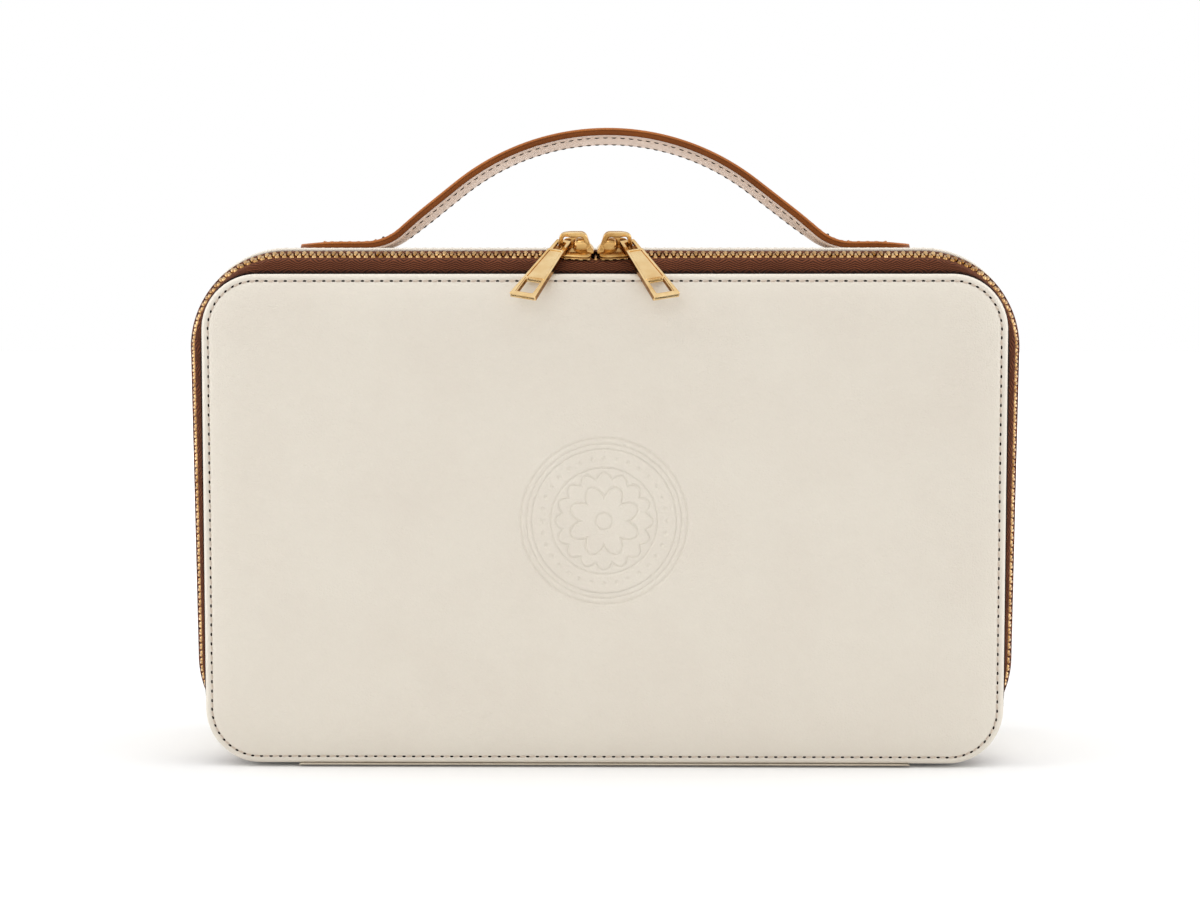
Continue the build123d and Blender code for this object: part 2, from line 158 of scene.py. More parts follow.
def rounded_path(corners, radii, closed=True, arc_steps=40):
    """Straight runs joined by arcs, as an Outline."""
    points = []
    count = len(corners)
    for k, (corner, radius) in enumerate(zip(corners, radii)):
        here = np.array(corner, float)
        if radius == 0 or (not closed and k in (0, count - 1)):
            points.append(here)
            continue
        back = unit(np.array(corners[k - 1], float) - here)
        ahead = unit(np.array(corners[(k + 1) % count], float) - here)
        half_angle = math.acos(np.clip(back @ ahead, -1, 1)) / 2
        start, end = (here + side * radius / math.tan(half_angle) for side in (back, ahead))
        centre = here + unit(back + ahead) * radius / math.sin(half_angle)
        turn = np.arctan2(*(start - centre)[::-1])
        sweep = (np.arctan2(*(end - centre)[::-1]) - turn + math.pi) % (2 * math.pi) - math.pi
        for share in np.linspace(0, 1, arc_steps + 1):
            angle = turn + sweep * share
            points.append(centre + radius * np.array([math.cos(angle), math.sin(angle)]))
    return Outline(points, closed)


def box_mm(node):
    """Corners of a CAD node in millimetres."""
    low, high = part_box(node)
    return np.array(low) / MM, np.array(high) / MM


panel_box, gusset_box = box_mm("lid_leather"), box_mm("shell_gusset")
front_y, panel_back_y = panel_box[0][1], panel_box[1][1]
shell_front_y, shell_back_y = gusset_box[0][1], gusset_box[1][1]
back_y = box_mm("back_panel")[1][1]
shell_half, shell_low, shell_top = gusset_box[1][0], gusset_box[0][2], gusset_box[1][2]
panel_half, panel_low, panel_top = panel_box[1][0], panel_box[0][2], panel_box[1][2]
chain_y = front_y + chain_setback
chain_low, chain_top = shell_low + chain_inset, shell_top - chain_inset
tilt_cos, tilt_sin = cosd(chain_tilt), sind(chain_tilt)
zip_end = box_mm("front_end_stops")[1][0] - stop_width / 2
strap_total = strap_leather + strap_lining
strap_axis = shell_top + strap_total / 2 + strap_split_rise


def case_corners(half, low, top, lean):
    return [(-half + lean, low), (-half, top), (half, top), (half - lean, low)]


def case_outline(half, low, top, corner, lean=0.0):
    """Closed outline that runs up the left side, over the top and back below."""
    return rounded_path([(0, low), *case_corners(half, low, top, lean)], [0] + [corner] * 4)


def open_line(half, low, top, corner, lean=0.0):
    """Outline from the left end of the spine strip round to its right end."""
    corners = [(-zip_end, low), *case_corners(half, low, top, lean), (zip_end, low)]
    return rounded_path(corners, [0, *[corner] * 4, 0], closed=False)


def bowed(outline, amount):
    """The same outline with its sides swelling outwards at half height."""
    points = outline.points.copy()
    level = np.clip((points[:, 1] - points[:, 1].min() - 14) / (np.ptp(points[:, 1]) - 28), 0, 1)
    beside = smooth_step((np.abs(points[:, 0]) - zip_end - 8) / 20)
    points[:, 0] += np.sign(points[:, 0]) * amount * beside * np.sin(np.pi * level) ** 1.5
    return Outline(points, outline.closed)


panel_line = case_outline(panel_half, panel_low, panel_top, panel_corner)
panel_open_line = open_line(panel_half, panel_low, panel_top, panel_corner)
shell_line = case_outline(shell_half, shell_low, shell_top, shell_corner, shell_side_lean)
chain_half, chain_corner = shell_half - chain_side_inset, shell_corner - chain_side_inset
chain_line = bowed(open_line(chain_half, chain_low, chain_top, chain_corner, shell_side_lean), chain_bow)


# --- Meshes: a shape is (points in millimetres, faces) ---
def make_mesh(name, shape, finishes, body, slot=None, *nodes, uv=None, smooth=True):
    """A piece from a shape."""
    vertices, faces = shape
    mesh = bpy.data.meshes.new(name)
    mesh.from_pydata((np.asarray(vertices, float) * MM).tolist(), [], faces)
    mesh.validate()
    if uv is not None:
        layer = mesh.uv_layers.new(name="weave")
        picks = np.zeros(len(mesh.loops), int)
        mesh.loops.foreach_get("vertex_index", picks)
        layer.data.foreach_set("uv", np.asarray(uv, float)[picks].ravel())
    mesh.polygons.foreach_set("use_smooth", [smooth] * len(mesh.polygons))
    for finish in finishes if isinstance(finishes, tuple) else (finishes,):
        mesh.materials.append(finish)
    mesh.update()
    piece = bpy.data.objects.new(name, mesh)
    bpy.context.scene.collection.objects.link(piece)
    if isinstance(body, tuple):
        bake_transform(piece)
    elif body:
        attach(piece, body)
    if nodes:
        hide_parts(*nodes)
    return piece


def stack_rings(rings, closed=True, flip=False, cap_first=False, cap_last=False):
    """Rings of points joined in order by quads."""
    size = len(rings[0])
    faces = []
    for row in range(len(rings) - 1):
        a, b = row * size, (row + 1) * size
        for k in range(size if closed else size - 1):
            n = (k + 1) % size
            quad = (a + k, a + n, b + n, b + k)
            faces.append(quad[::-1] if flip else quad)
    count = size * len(rings)
    first, last = tuple(range(size)), tuple(range(count - size, count))
    if cap_first:
        faces.append(first if flip else first[::-1])
    if cap_last:
        faces.append(last[::-1] if flip else last)
    return np.vstack(rings), faces


def join_parts(parts):
    """One shape from several."""
    vertices, faces, count = [], [], 0
    for points, polygons in parts:
        vertices.append(points)
        faces += [tuple(v + count for v in polygon) for polygon in polygons]
        count += len(points)
    return np.vstack(vertices), faces


def stamp(shape, places):
    """Copies of a small shape at places given as (origin, x axis, y axis, z axis)."""
    points, polygons = shape
    return join_parts([(np.asarray(origin) + points @ np.array(axes), polygons) for origin, *axes in places])


def in_case(points, depth):
    """(x, z) points at a depth, as (x, y, z)."""
    points = np.atleast_2d(points)
    return np.column_stack([points[:, 0], np.broadcast_to(depth, len(points)), points[:, 1]])


def level_ring(points, height):
    """(x, y) points at a height."""
    return np.column_stack([points, np.full(len(points), height)])


def middle_of(points):
    """Centre and half size of a run of points."""
    low, high = points.min(0), points.max(0)
    return (low + high) / 2, (high - low) / 2


def facing(piece, axis):
    """How far each face of a piece looks along an axis."""
    return np.array([p.normal @ Vector(axis) for p in piece.data.polygons])


# --- Materials ---
class Nodes:
    """Short hand for building a node material."""

    def __init__(self, name):
        self.material = bpy.data.materials.new(name)
        self.material.use_nodes = True
        self.tree = self.material.node_tree
        self.shader = self.tree.nodes["Principled BSDF"]
        self.place = self.add("TexCoord").outputs["Object"]

    def add(self, kind, inputs=None, **settings):
        node = self.tree.nodes.new("ShaderNode" + kind)
        for key, value in settings.items():
            setattr(node, key, value)
        for key, value in (inputs or {}).items():
            self.feed(node.inputs[key], value)
        return node

    def feed(self, socket, value):
        if isinstance(value, bpy.types.NodeSocket):
            self.tree.links.new(value, socket)
        else:
            socket.default_value = value

    def set(self, **values):
        for key, value in values.items():
            self.feed(self.shader.inputs[key.replace("_", " ")], value)

    def noise(self, scale, detail=3.0, roughness=0.5, vector=None):
        inputs = {"Vector": vector or self.place, "Scale": scale, "Detail": detail, "Roughness": roughness}
        return self.add("TexNoise", inputs).outputs["Fac"]

    def math(self, operation, a, b):
        return self.add("Math", {0: a, 1: b}, operation=operation).outputs[0]

    def ribs(self, value, pitch):
        """Saw-tooth ridges from 0 to 0.5, one pitch apart."""
        return self.math("PINGPONG", self.math("DIVIDE", value, pitch), 0.5)

    def span(self, value, low, high, to_low=0.0, to_high=1.0):
        inputs = {"Value": value, "From Min": low, "From Max": high, "To Min": to_low, "To Max": to_high}
        return self.add("MapRange", inputs).outputs["Result"]

    def mix(self, share, a, b):
        return self.add("Mix", {0: share, 6: a, 7: b}, data_type="RGBA").outputs[2]

    def tint(self, value, low, high, a, b, least=0.0, most=1.0):
        """Colour that turns from a to b as a value rises from low to high."""
        return self.mix(self.span(value, low, high, least, most), a, b)

    def bump(self, height, distance, strength=1.0, normal=None):
        inputs = {"Height": height, "Distance": distance, "Strength": strength}
        if normal is not None:
            inputs["Normal"] = normal
        return self.add("Bump", inputs).outputs["Normal"]


def srgb(code):
    """Linear colour from a hex code."""
    parts = [int(code[k : k + 2], 16) / 255 for k in (0, 2, 4)]
    return tuple(c / 12.92 if c <= 0.04045 else ((c + 0.055) / 1.055) ** 2.4 for c in parts) + (1.0,)


def leather(name, base, shade, gloss, grain_scale=900.0, grain_depth=0.00006, shine=0.5):
    """Grained leather: pebbles between fine creases over slow changes of tone."""
    n = Nodes(name)
    grid = {"Vector": n.place, "Scale": grain_scale}
    pebbles = n.add("TexVoronoi", grid, feature="DISTANCE_TO_EDGE").outputs["Distance"]
    creases = n.span(pebbles, 0.0, 0.22)
    pores = n.noise(grain_scale * 2.4, 2.0)
    hide = n.noise(26.0, 5.0, 0.6)
    tone = n.tint(hide, 0.35, 0.68, srgb(base), srgb(shade))
    grain = n.math("ADD", creases, n.math("MULTIPLY", pores, 0.4))
    n.set(
        Base_Color=n.tint(creases, 0.0, 0.6, tone, srgb(shade), 0.18, 0.0),
        Roughness=n.span(hide, 0.2, 0.8, gloss - 0.05, gloss + 0.06),
        Normal=n.bump(hide, 0.00015, 0.25, n.bump(grain, grain_depth)),
        Specular_IOR_Level=shine,
    )
    return n.material


def woven(name, base, shade, edge, run=0.0038, line=0.0013):
    """Herringbone tape: slanting ribs that turn back along the tape, with painted shade near-black at the
    sewn edge.
    """
    n = Nodes(name)
    uv = n.add("UVMap", uv_map="weave").outputs["UV"]
    along, across = n.add("SeparateXYZ", {0: uv}).outputs[:2]
    wobble = n.math("MULTIPLY", n.math("SUBTRACT", n.noise(220.0, 2.0), 0.5), 0.0012)
    zigzag = n.math("PINGPONG", n.math("ADD", along, wobble), run)
    lean = n.math("ADD", across, n.math("MULTIPLY", zigzag, 0.62))
    twill = n.ribs(n.math("ADD", lean, wobble), line)
    yarn = n.ribs(along, line * 0.42)
    threads = n.math("ADD", n.math("MULTIPLY", twill, 1.6), n.math("MULTIPLY", yarn, 0.4))
    tone = n.tint(threads, 0.2, 0.75, srgb(shade), srgb(base))
    tone = n.tint(n.noise(70.0, 4.0), 0.35, 0.75, tone, srgb(shade), most=0.3)
    fuzz = n.math("MULTIPLY", n.noise(2300.0, 2.0), 0.35)
    n.set(
        # Painted shade: the tape turns near-black along its sewn edge, standing in for the shadowed gap by
        # the panel.
        Base_Color=n.tint(across, 0.0047, 0.0062, tone, srgb(edge), 0.93, 0.0),
        Roughness=0.85,
        Specular_IOR_Level=0.18,
        Normal=n.bump(n.math("ADD", threads, fuzz), 0.0002),
    )
    return n.material


def metal(name, base, shade, gloss):
    """Plated metal with faint polishing lines and rubbed places."""
    n = Nodes(name)
    drawn = n.add("VectorMath", {0: n.place, 1: (1.0, 0.12, 0.2)}, operation="MULTIPLY").outputs["Vector"]
    rubbed = n.noise(140.0)
    n.set(
        Base_Color=n.tint(rubbed, 0.35, 0.7, srgb(base), srgb(shade)),
        Metallic=1.0,
        Roughness=n.span(rubbed, 0.3, 0.75, gloss - 0.04, gloss + 0.1),
        Normal=n.bump(n.noise(900.0, 2.0, vector=drawn), 0.000012, 0.5),
    )
    return n.material


def cloth(name, base, shade, thread=0.0006):
    """Plain woven lining."""
    n = Nodes(name)
    x, y, z = n.add("SeparateXYZ", {0: n.place}).outputs
    threads = n.math("ADD", n.ribs(x, thread), n.ribs(n.math("ADD", z, y), thread))
    mottled = n.noise(90.0, 4.0)
    tone = n.tint(threads, 0.2, 0.8, srgb(shade), srgb(base))
    n.set(
        Base_Color=n.tint(mottled, 0.4, 0.75, tone, srgb(shade), most=0.25),
        Roughness=0.85,
        Sheen_Weight=0.3,
        Sheen_Roughness=0.4,
        Normal=n.bump(n.math("ADD", threads, mottled), 0.0001),
    )
    return n.material


def fibrous(name, base, shade, scale=1400.0, sheen=0.0):
    """Matt, short-fibred stuff: flock, foam or board."""
    n = Nodes(name)
    fibres = n.noise(scale, 4.0, 0.7)
    tone = n.tint(fibres, 0.3, 0.7, srgb(shade), srgb(base))
    n.set(
        Base_Color=n.tint(n.noise(70.0), 0.4, 0.7, tone, srgb(shade), most=0.3),
        Roughness=0.92,
        Sheen_Weight=sheen,
        Sheen_Roughness=0.35,
        Normal=n.bump(fibres, 0.00012),
    )
    return n.material


def spun(name, base, shade):
    """Waxed sewing thread with a twist."""
    n = Nodes(name)
    strands = n.noise(3000.0, 2.0)
    n.set(
        Base_Color=n.mix(strands, srgb(base), srgb(shade)),
        Roughness=0.7,
        Specular_IOR_Level=0.15,
        Normal=n.bump(strands, 0.00008),
    )
    return n.material


cream = leather("cream_leather", "E8E0D2", "E5DCCE", 0.4)
# Darker cream for the spine strip: the same cream leather darkened as painted shade, as the strip sits
# recessed under the panel's rim.
spine_cream_shaded = leather("spine_leather_shaded", "CDC2B0", "BFB39F", 0.55, shine=0.3)
tan = leather("tan_leather", "B2692A", "9A5518", 0.45, 1100.0, shine=0.3)
tan_edge = leather("tan_edge", "834407", "6C3504", 0.38, 1500.0, 0.00003, 0.2)
liner_leather = leather("liner_leather", "E3CFC2", "D6BFB0", 0.55, 1300.0)
# The last colour is the painted shade at the tape's sewn edge.
tape_weave = woven("tape_weave", "7A452B", "33170B", "0B0503")
gold = metal("gold", "F0D3A0", "DDB474", 0.14)
satin_gold = metal("satin_gold", "EFD3A0", "E2BE84", 0.28)
# Darker gold for the pulls' side walls: painted shade, not a colour of the metal.
shaded_wall_gold = metal("shaded_wall_gold", "B88746", "84561D", 0.16)
slider_gold = metal("slider_gold", "D2AC70", "9A6C32", 0.15)
tooth_gold = metal("tooth_gold", "D9B480", "93652C", 0.18)
lining_cloth = cloth("lining_cloth", "CDB89C", "B39C80")
tray_flock = fibrous("tray_flock", "6B4A36", "523526", sheen=0.4)
board_stuff = fibrous("board_stuff", "B7A68C", "9C8B72", 500.0)
foam_stuff = fibrous("foam_stuff", "E6E0D2", "D2C9B8", 1800.0)
# Dark thread for the strap's lower seams and knots, and painted shade for the needle-hole pips.
dark_thread_and_hole_shade = spun("dark_thread_and_hole_shade", "22120B", "120804")
tan_thread = spun("tan_thread", "C08A5E", "A06C40")
cream_thread = spun("cream_thread", "DCCDBE", "C5B3A2")


# --- Needlework ---
def capsule(length, half_width, height, rings=7, sides=6):
    """A stitch along x that rises out of the surface and dips at both ends."""
    loops = []
    for t in np.linspace(-1, 1, rings):
        round_off = math.sqrt(max(1 - t**4, 0.02))
        loop = []
        for side in range(sides):
            angle = 2 * math.pi * side / sides
            rise = height * (0.35 - 0.9 * t * t) + height * 0.65 * math.sin(angle) * round_off
            loop.append((t * length / 2, half_width * math.cos(angle) * round_off, rise))
        loops.append(np.array(loop))
    return stack_rings(loops, cap_first=True, cap_last=True)


def bead(half_length, half_width, half_height, rings=5, sides=8):
    """A small rounded pip."""
    angle = 2 * math.pi * np.arange(sides) / sides
    round_points = np.column_stack([half_length * np.cos(angle), half_width * np.sin(angle)])
    loops = []
    for t in np.linspace(-0.96, 0.96, rings):
        loops.append(level_ring(round_points * math.sqrt(1 - t * t), half_height * t))
    return stack_rings(loops, cap_first=True, cap_last=True)


def seam_places(outline, count, seat_of):
    """Even places along a seam: x along it, y away from the panel's middle, z out of the leather."""
    run = (np.arange(count) + 0.5) * outline.length / count
    places = []
    for point, normal in zip(outline.at(run), outline.normal(run)):
        seat, out, y_axis = seat_of(point, normal)
        places.append((seat, unit(np.cross(y_axis, out)), y_axis, out))
    return places


def sew(name, places, body):
    """Slanting thread between needle holes, and a dark pip at each hole as painted shade of the hole."""
    c, s = cosd(stitch_slant), sind(stitch_slant)
    slanting = [(origin, c * x + s * y, c * y - s * x, z) for origin, x, y, z in places]
    stitch = capsule(stitch_pitch - 0.9, 0.27, 0.34)
    make_mesh(f"{name}_thread", stamp(stitch, slanting), cream_thread, body, "cream_leather")
    # Dark pips at the needle holes: painted shade in each hole.
    holes = [(origin + x * stitch_pitch / 2 - z * 0.02, x, y, z) for origin, x, y, z in places]
    make_mesh(f"{name}_holes", stamp(bead(0.7, 0.44, 0.13), holes), dark_thread_and_hole_shade, body, "cream_leather")


# --- Padded covers ---
cover_points = 400
edge_round = 2.0
puff_rise = 1.6
puff_width = 18.0
puff_lift = 0.75
groove_depth = 0.25
groove_half = 0.75
crown_rise = 0.55
turn_in = 7.0
ornament_radius = 33.0
ornament_depth = 0.36


def cover_height(inset):
    """How far a padded cover stands over its highest plane, by distance from its edge."""
    rounding = edge_round - math.sqrt(max(edge_round**2 - max(edge_round - inset, 0) ** 2, 0))
    rest = 1 - np.clip((inset - stitch_inset) / puff_width, 0, 1)
    groove = math.exp(-(((inset - stitch_inset) / groove_half) ** 2))
    return puff_lift - puff_rise * rest**3.4 - rounding - groove_depth * groove


def cover_swell(points, centre, half):
    """Soft crown and slight waviness of the padding."""
    u, v = ((points - centre) / half).T
    crown = crown_rise * np.clip(1 - u**2, 0, 1) * np.clip(1 - v**2, 0, 1)
    waves = [noise.noise(Vector((x * 0.021, 0.7, z * 0.021))) for x, z in points]
    return crown + 0.1 * np.array(waves)


def lobed_gap(radius, angle, base, reach, count, shift=0.0):
    """Distance from a ring of lobes, measured square to its line."""
    wave = count * angle + shift
    slope = count * reach * np.cos(wave) / np.maximum(radius, 1)
    return (radius - base - reach * np.abs(np.sin(wave))) / np.sqrt(1 + slope**2)


def ornament(radius, angle):
    """Blind-pressed rosette: a lobed flower and a bead ring between plain rings."""
    turn = 2 * math.pi / 32
    bead_angle = (angle + turn / 2) % turn - turn / 2
    plain_rings = ((30.0, 0.62), (27.9, 0.42), (26.0, 0.3), (19.2, 0.42), (3.0, 0.5))
    lines = [(radius - ring, half) for ring, half in plain_rings]
    lines.append((lobed_gap(radius, angle, 8.6, 4.4, 4), 0.5))
    lines.append((lobed_gap(radius, angle, 15.2, 2.4, 8, math.pi / 2), 0.42))
    lines.append((np.hypot(radius * np.cos(bead_angle) - 22.6, radius * np.sin(bead_angle)), 0.95))
    depths = [np.clip(1 - (gap / half) ** 2, 0, 1) ** 1.5 for gap, half in lines]
    return ornament_depth * np.max(depths, axis=0)


def padded_cover(name, outline, face_y, inner_y, pressed, body, node):
    """Sewn leather cover over foam: turned-in edge, rounded rim, seam groove and soft field."""
    out = math.copysign(1, face_y - inner_y)
    base, normals = outline.spaced(cover_points)
    centre, half = middle_of(base)
    rings = []
    for inset, lift in ((turn_in, 0.0), (1.2, 0.0), (0.35, 0.12), (0.0, 0.6)):
        rings.append(in_case(base - normals * inset, inner_y + out * lift))
    rim = [edge_round * (1 - cosd(a)) for a in range(0, 91, 15)]
    land = [2.15, 2.35, 2.6, 2.85, 3.1, 3.4, 3.8, 4.4, 5.2, 6.2, 7.4, 8.8, 10.4, 12.2, 14.2, 16.2, 18.0]
    for inset in rim + land:
        points = base - normals * inset
        puff = smooth_step((inset - stitch_inset) / puff_width)
        height = cover_height(inset) + puff * cover_swell(points, centre, half)
        rings.append(in_case(points, face_y + out * height))
    field = base - normals * land[-1]
    first = np.arctan2(*(field - centre).T[::-1])[0]
    even = first - np.linspace(0, 2 * math.pi, cover_points, endpoint=False)
    spokes = np.column_stack([np.cos(even), np.sin(even)])
    for t in np.linspace(0, 1, 15)[1:]:
        points = field + (centre + ornament_radius * spokes - field) * t
        rings.append(in_case(points, face_y + out * (puff_lift + cover_swell(points, centre, half))))
    for radius in np.linspace(ornament_radius, 0.15, 110 if pressed else 12)[1:]:
        points = centre + radius * spokes
        height = puff_lift + cover_swell(points, centre, half)
        if pressed:
            height = height - ornament(np.full(cover_points, radius), even)
        rings.append(in_case(points, face_y + out * height))
    shape = stack_rings(rings, flip=out > 0, cap_last=True)
    make_mesh(name, shape, cream, body, "cream_leather", node)

    def on_face(point, normal):
        seat = in_case(point - normal * stitch_inset, face_y + out * (cover_height(stitch_inset) + 0.06))[0]
        return seat, np.array([0, out, 0.0]), np.array([normal[0], 0, normal[1]])

    count = round(Outline(base - normals * stitch_inset, True).length / stitch_pitch)
    sew(name, seam_places(outline, count, on_face), body)


padded_cover("front_cover", panel_line, front_y, panel_back_y, True, "lid", "lid_leather")
padded_cover("back_cover", shell_line, back_y, shell_back_y, False, "shell", "back_panel")


# --- Gusset: the leather wall of the shell ---
gusset_edge = 1.8
gusset_seam_inset = 2.9
pressed_seam = ((4.4, 0.0), (3.4, 0.1), (gusset_seam_inset, 0.18), (2.4, 0.1), (1.6, 0.0))


def gusset():
    """Wall with a turned front edge and a slight swell, sewn at both edges."""
    base, normals = shell_line.spaced(cover_points)
    roll = gusset_edge / 2
    profile = [(shell_back_y, -leather_thickness), (shell_front_y + 6.0, -leather_thickness)]
    profile += [(shell_front_y + 4.5, -leather_thickness - 0.15), (shell_front_y + 2.5, -gusset_edge)]
    profile += [(shell_front_y + roll * (1 - sind(a)), -roll - roll * cosd(a)) for a in range(0, 181, 30)]
    profile += [(shell_front_y + y, -dip) for y, dip in pressed_seam[::-1]]
    profile += [(y, 0.0) for y in np.linspace(shell_front_y + 8, shell_back_y - 6, 7)]
    profile += [(shell_back_y - y, -dip) for y, dip in (*pressed_seam, (0.5, -0.02), (0.0, 0.35))]
    rings = [in_case(base + normals * grow, y) for y, grow in profile]
    make_mesh("gusset_wall", stack_rings(rings), cream, "shell", "cream_leather", "shell_gusset")


def gusset_seam(name, y):
    """Stitch row round the wall at a depth, left out under the spine strip."""

    def on_wall(point, normal):
        out = np.array([normal[0], 0, normal[1]])
        return in_case(point, y)[0] - out * 0.12, out, np.array([0, -1.0, 0])

    places = seam_places(shell_line, max(1, round(shell_line.length / stitch_pitch)), on_wall)
    sew(name, [p for p in places if p[0][2] > shell_low + 1 or abs(p[0][0]) > zip_end], "shell")


gusset()
gusset_seam("gusset_front_seam", shell_front_y + gusset_seam_inset)
gusset_seam("gusset_back_seam", shell_back_y - gusset_seam_inset)


# --- Zip tapes ---
tape_points = 520
tape_side_fold = 1.3
tape_side_slip = 0.9
chain_base, chain_normals = chain_line.spaced(tape_points)


def tilt_at(points, normals):
    """Chain tilt in radians: full under the sliders, less along the top and round the sides."""
    away = smooth_step((np.abs(np.asarray(points)[..., 0] - meeting_x) - 18) / 30)
    level = np.asarray(normals)[..., 1]
    run_tilt = np.where(level > 0, chain_tilt - 5.5 * away, chain_tilt)
    return np.radians(chain_side_tilt + (run_tilt - chain_side_tilt) * level**2)


def seam_ring(grow, y):
    """Ring round the panel's edge at a depth, moved outwards."""
    base, normals = panel_open_line.spaced(tape_points)
    return in_case(base + normals * grow, y)


def chain_ring(reach, grow=0.0, back=0.0):
    """Ring at a reach across the chain's plane, then moved outwards and back."""
    tilt = tilt_at(chain_base, chain_normals)
    outwards = chain_base + chain_normals * (np.sin(tilt) * reach + grow)[:, None]
    return in_case(outwards, chain_y + np.cos(tilt) * reach + back)


def wall_ring(inset, y):
    """Ring inside the shell's wall at a depth."""
    corner = shell_corner - inset
    line = open_line(shell_half - inset, shell_low + inset, shell_top - inset, corner, shell_side_lean)
    return in_case(line.spaced(tape_points)[0], y)


def spread_at(x):
    """How far the rows stand apart between the sliders."""
    start, full = slider_gap / 2 + slider_length, slider_gap / 2 + slider_shoulder
    return tooth_spread * np.clip((start - np.abs(x - meeting_x)) / (start - full), 0, 1)


def run_lengths(points):
    """Distances along a row of points."""
    return np.concatenate([[0], np.cumsum(np.linalg.norm(np.diff(points, axis=0), axis=1))])


def tape(name, keys, side, body, node, first_height):
    """Woven strip through rings of points, closed round its thickness."""
    middle = [a + (b - a) * t for a, b in zip(keys, keys[1:]) for t in np.linspace(0, 1, 6, endpoint=False)]
    middle.append(keys[-1])
    for _ in range(3):
        softer = [(a + 2 * b + c) / 4 for a, b, c in zip(middle, middle[1:], middle[2:])]
        middle = [middle[0], *softer, middle[-1]]
    edge = middle[-1] if side < 0 else middle[0]
    stand_off = np.where(edge[:, 2] > chain_top - 6, spread_at(edge[:, 0]), 0)
    rear = np.array([0, tilt_cos, tilt_sin])
    for k, ring in enumerate(middle):
        share = k / (len(middle) - 1) if side < 0 else 1 - k / (len(middle) - 1)
        middle[k] = ring + side * np.outer(stand_off * share**2, rear)
    stack = np.array(middle)
    face = np.cross(np.gradient(stack, axis=1), np.gradient(stack, axis=0))
    face /= np.linalg.norm(face, axis=2, keepdims=True)
    outside, inside = stack + face * tape_half, stack - face * tape_half
    rounded = inside[-1] * 0.5 + outside[-1] * 0.5 + (stack[-1] - stack[-2]) * 0.1
    rings = [*outside, rounded, *inside[::-1]]
    run, width = run_lengths(stack[-1]), run_lengths(stack[:, 0]) + first_height
    slip = tape_side_slip * chain_normals[:, 0] ** 2
    heights = [*width, width[-1], *width[::-1]]
    uv = np.vstack([np.column_stack([run, h - slip]) for h in heights]) * MM
    vertices, faces = stack_rings(rings, closed=False)
    for end in (0, tape_points - 1):
        loop = tuple(end + tape_points * k for k in range(len(rings)))
        faces.append(loop if end else loop[::-1])
    make_mesh(name, (vertices, faces), tape_weave, body, "zip_tape", node, uv=uv)


front_keys = [
    seam_ring(-tape_seam_inset - 3.4, panel_back_y + 0.5),
    seam_ring(-tape_seam_inset - 0.7, panel_back_y + 0.55),
    seam_ring(-tape_seam_inset + 0.2, panel_back_y + 1.3),
    seam_ring(0.9, panel_back_y + 1.7),
    chain_ring(-tape_bend, 0.25, 0.3),
    chain_ring(-root_reach),
    chain_ring(-1.5),
]
rear_keys = [
    chain_ring(1.5),
    chain_ring(root_reach),
    chain_ring(root_reach + 0.8, tape_side_fold * chain_normals[:, 0] ** 2),
    wall_ring(gusset_edge + tape_half, shell_front_y + 0.9),
    wall_ring(gusset_edge + tape_half + 0.05, shell_front_y + 2.5),
    wall_ring(leather_thickness + seat_gap + tape_half + 0.15, shell_front_y + 4.6),
]
tape("front_tape", front_keys, -1, "lid", "front_zip_tape", 0)
tape("rear_tape", rear_keys, 1, "shell", "rear_zip_tape", 20)


# --- Teeth ---
def chain_place(run, side):
    """Place on the chain at a run along it: x along, y to the rear, z outwards."""
    point, normal = chain_line.at(run), chain_line.normal(run)
    out_flat = np.array([normal[0], 0, normal[1]])
    tilt = float(tilt_at(point, normal))
    rear = np.array([0, math.cos(tilt), 0]) + out_flat * math.sin(tilt)
    out = out_flat * math.cos(tilt) - np.array([0, math.sin(tilt), 0])
    stand_off = float(spread_at(point[0])) if normal[1] > tilt_sin else 0.0
    return in_case(point, chain_y)[0] + rear * side * stand_off, np.cross(rear, out), rear, out


def tooth(side):
    """One tooth: clamp on the tape's edge, waist and rounded head, as (reach, half width, height share)."""
    root = tooth_root
    clamp = [(root + 0.06, 0.34, 0.36), (root - 0.06, 0.66, 0.66), (root - 0.36, 0.88, 0.9)]
    clamp += [(root - 0.8, 0.95, 1.0), (root - 1.25, 0.82, 0.95)]
    waist = [(0.75, 0.6, 0.86), (0.3, 0.56, 0.88), (0.0, 0.64, 0.94)]
    head = [(-0.32, 0.56, 0.84), (-tooth_head, 0.24, 0.5)]
    loops = []
    for reach, half_width, tall in clamp + waist + head:
        loop = []
        for k in range(8):
            c, s = cosd(45 * k + 22.5), sind(45 * k + 22.5)
            square = max(abs(c), abs(s)) ** 0.55
            loop.append((half_width * c / square, side * reach, tooth_thickness / 2 * tall * s / square))
        loops.append(np.array(loop))
    return stack_rings(loops, flip=side > 0, cap_first=True, cap_last=True)


def tooth_row(name, side, first_run, body, node):
    """All teeth of one row as one mesh."""
    count = int((chain_line.length - stop_width - 2 * first_run) / tooth_pitch)
    runs = [first_run + stop_width / 2 + tooth_pitch * k for k in range(count + 1)]
    teeth = stamp(tooth(side), [chain_place(run, side) for run in runs])
    make_mesh(name, teeth, tooth_gold, body, "gold_metal", node)


tooth_row("front_tooth_row", -1, tooth_pitch, "lid", "front_teeth")
tooth_row("rear_tooth_row", 1, tooth_pitch * 1.5, "shell", "rear_teeth")


# --- Sliders ---
channel_half = 1.45
channel_narrow = 2.85
lip_width = 0.75
lip_height = 0.3
post_start, post_straight, post_length, post_width = 0.8, 2.6, 4.4, 0.9
crown_span, crown_taper, crown_leg, crown_width = 10.0, 0.8, 1.2, 1.6
crown_bar, crown_inner_height = 1.3, 5.6
plate_count = 96
rear_trim = 0.72

chain_out = np.array([0, -tilt_sin, tilt_cos])
chain_rear = np.array([0, tilt_cos, tilt_sin])


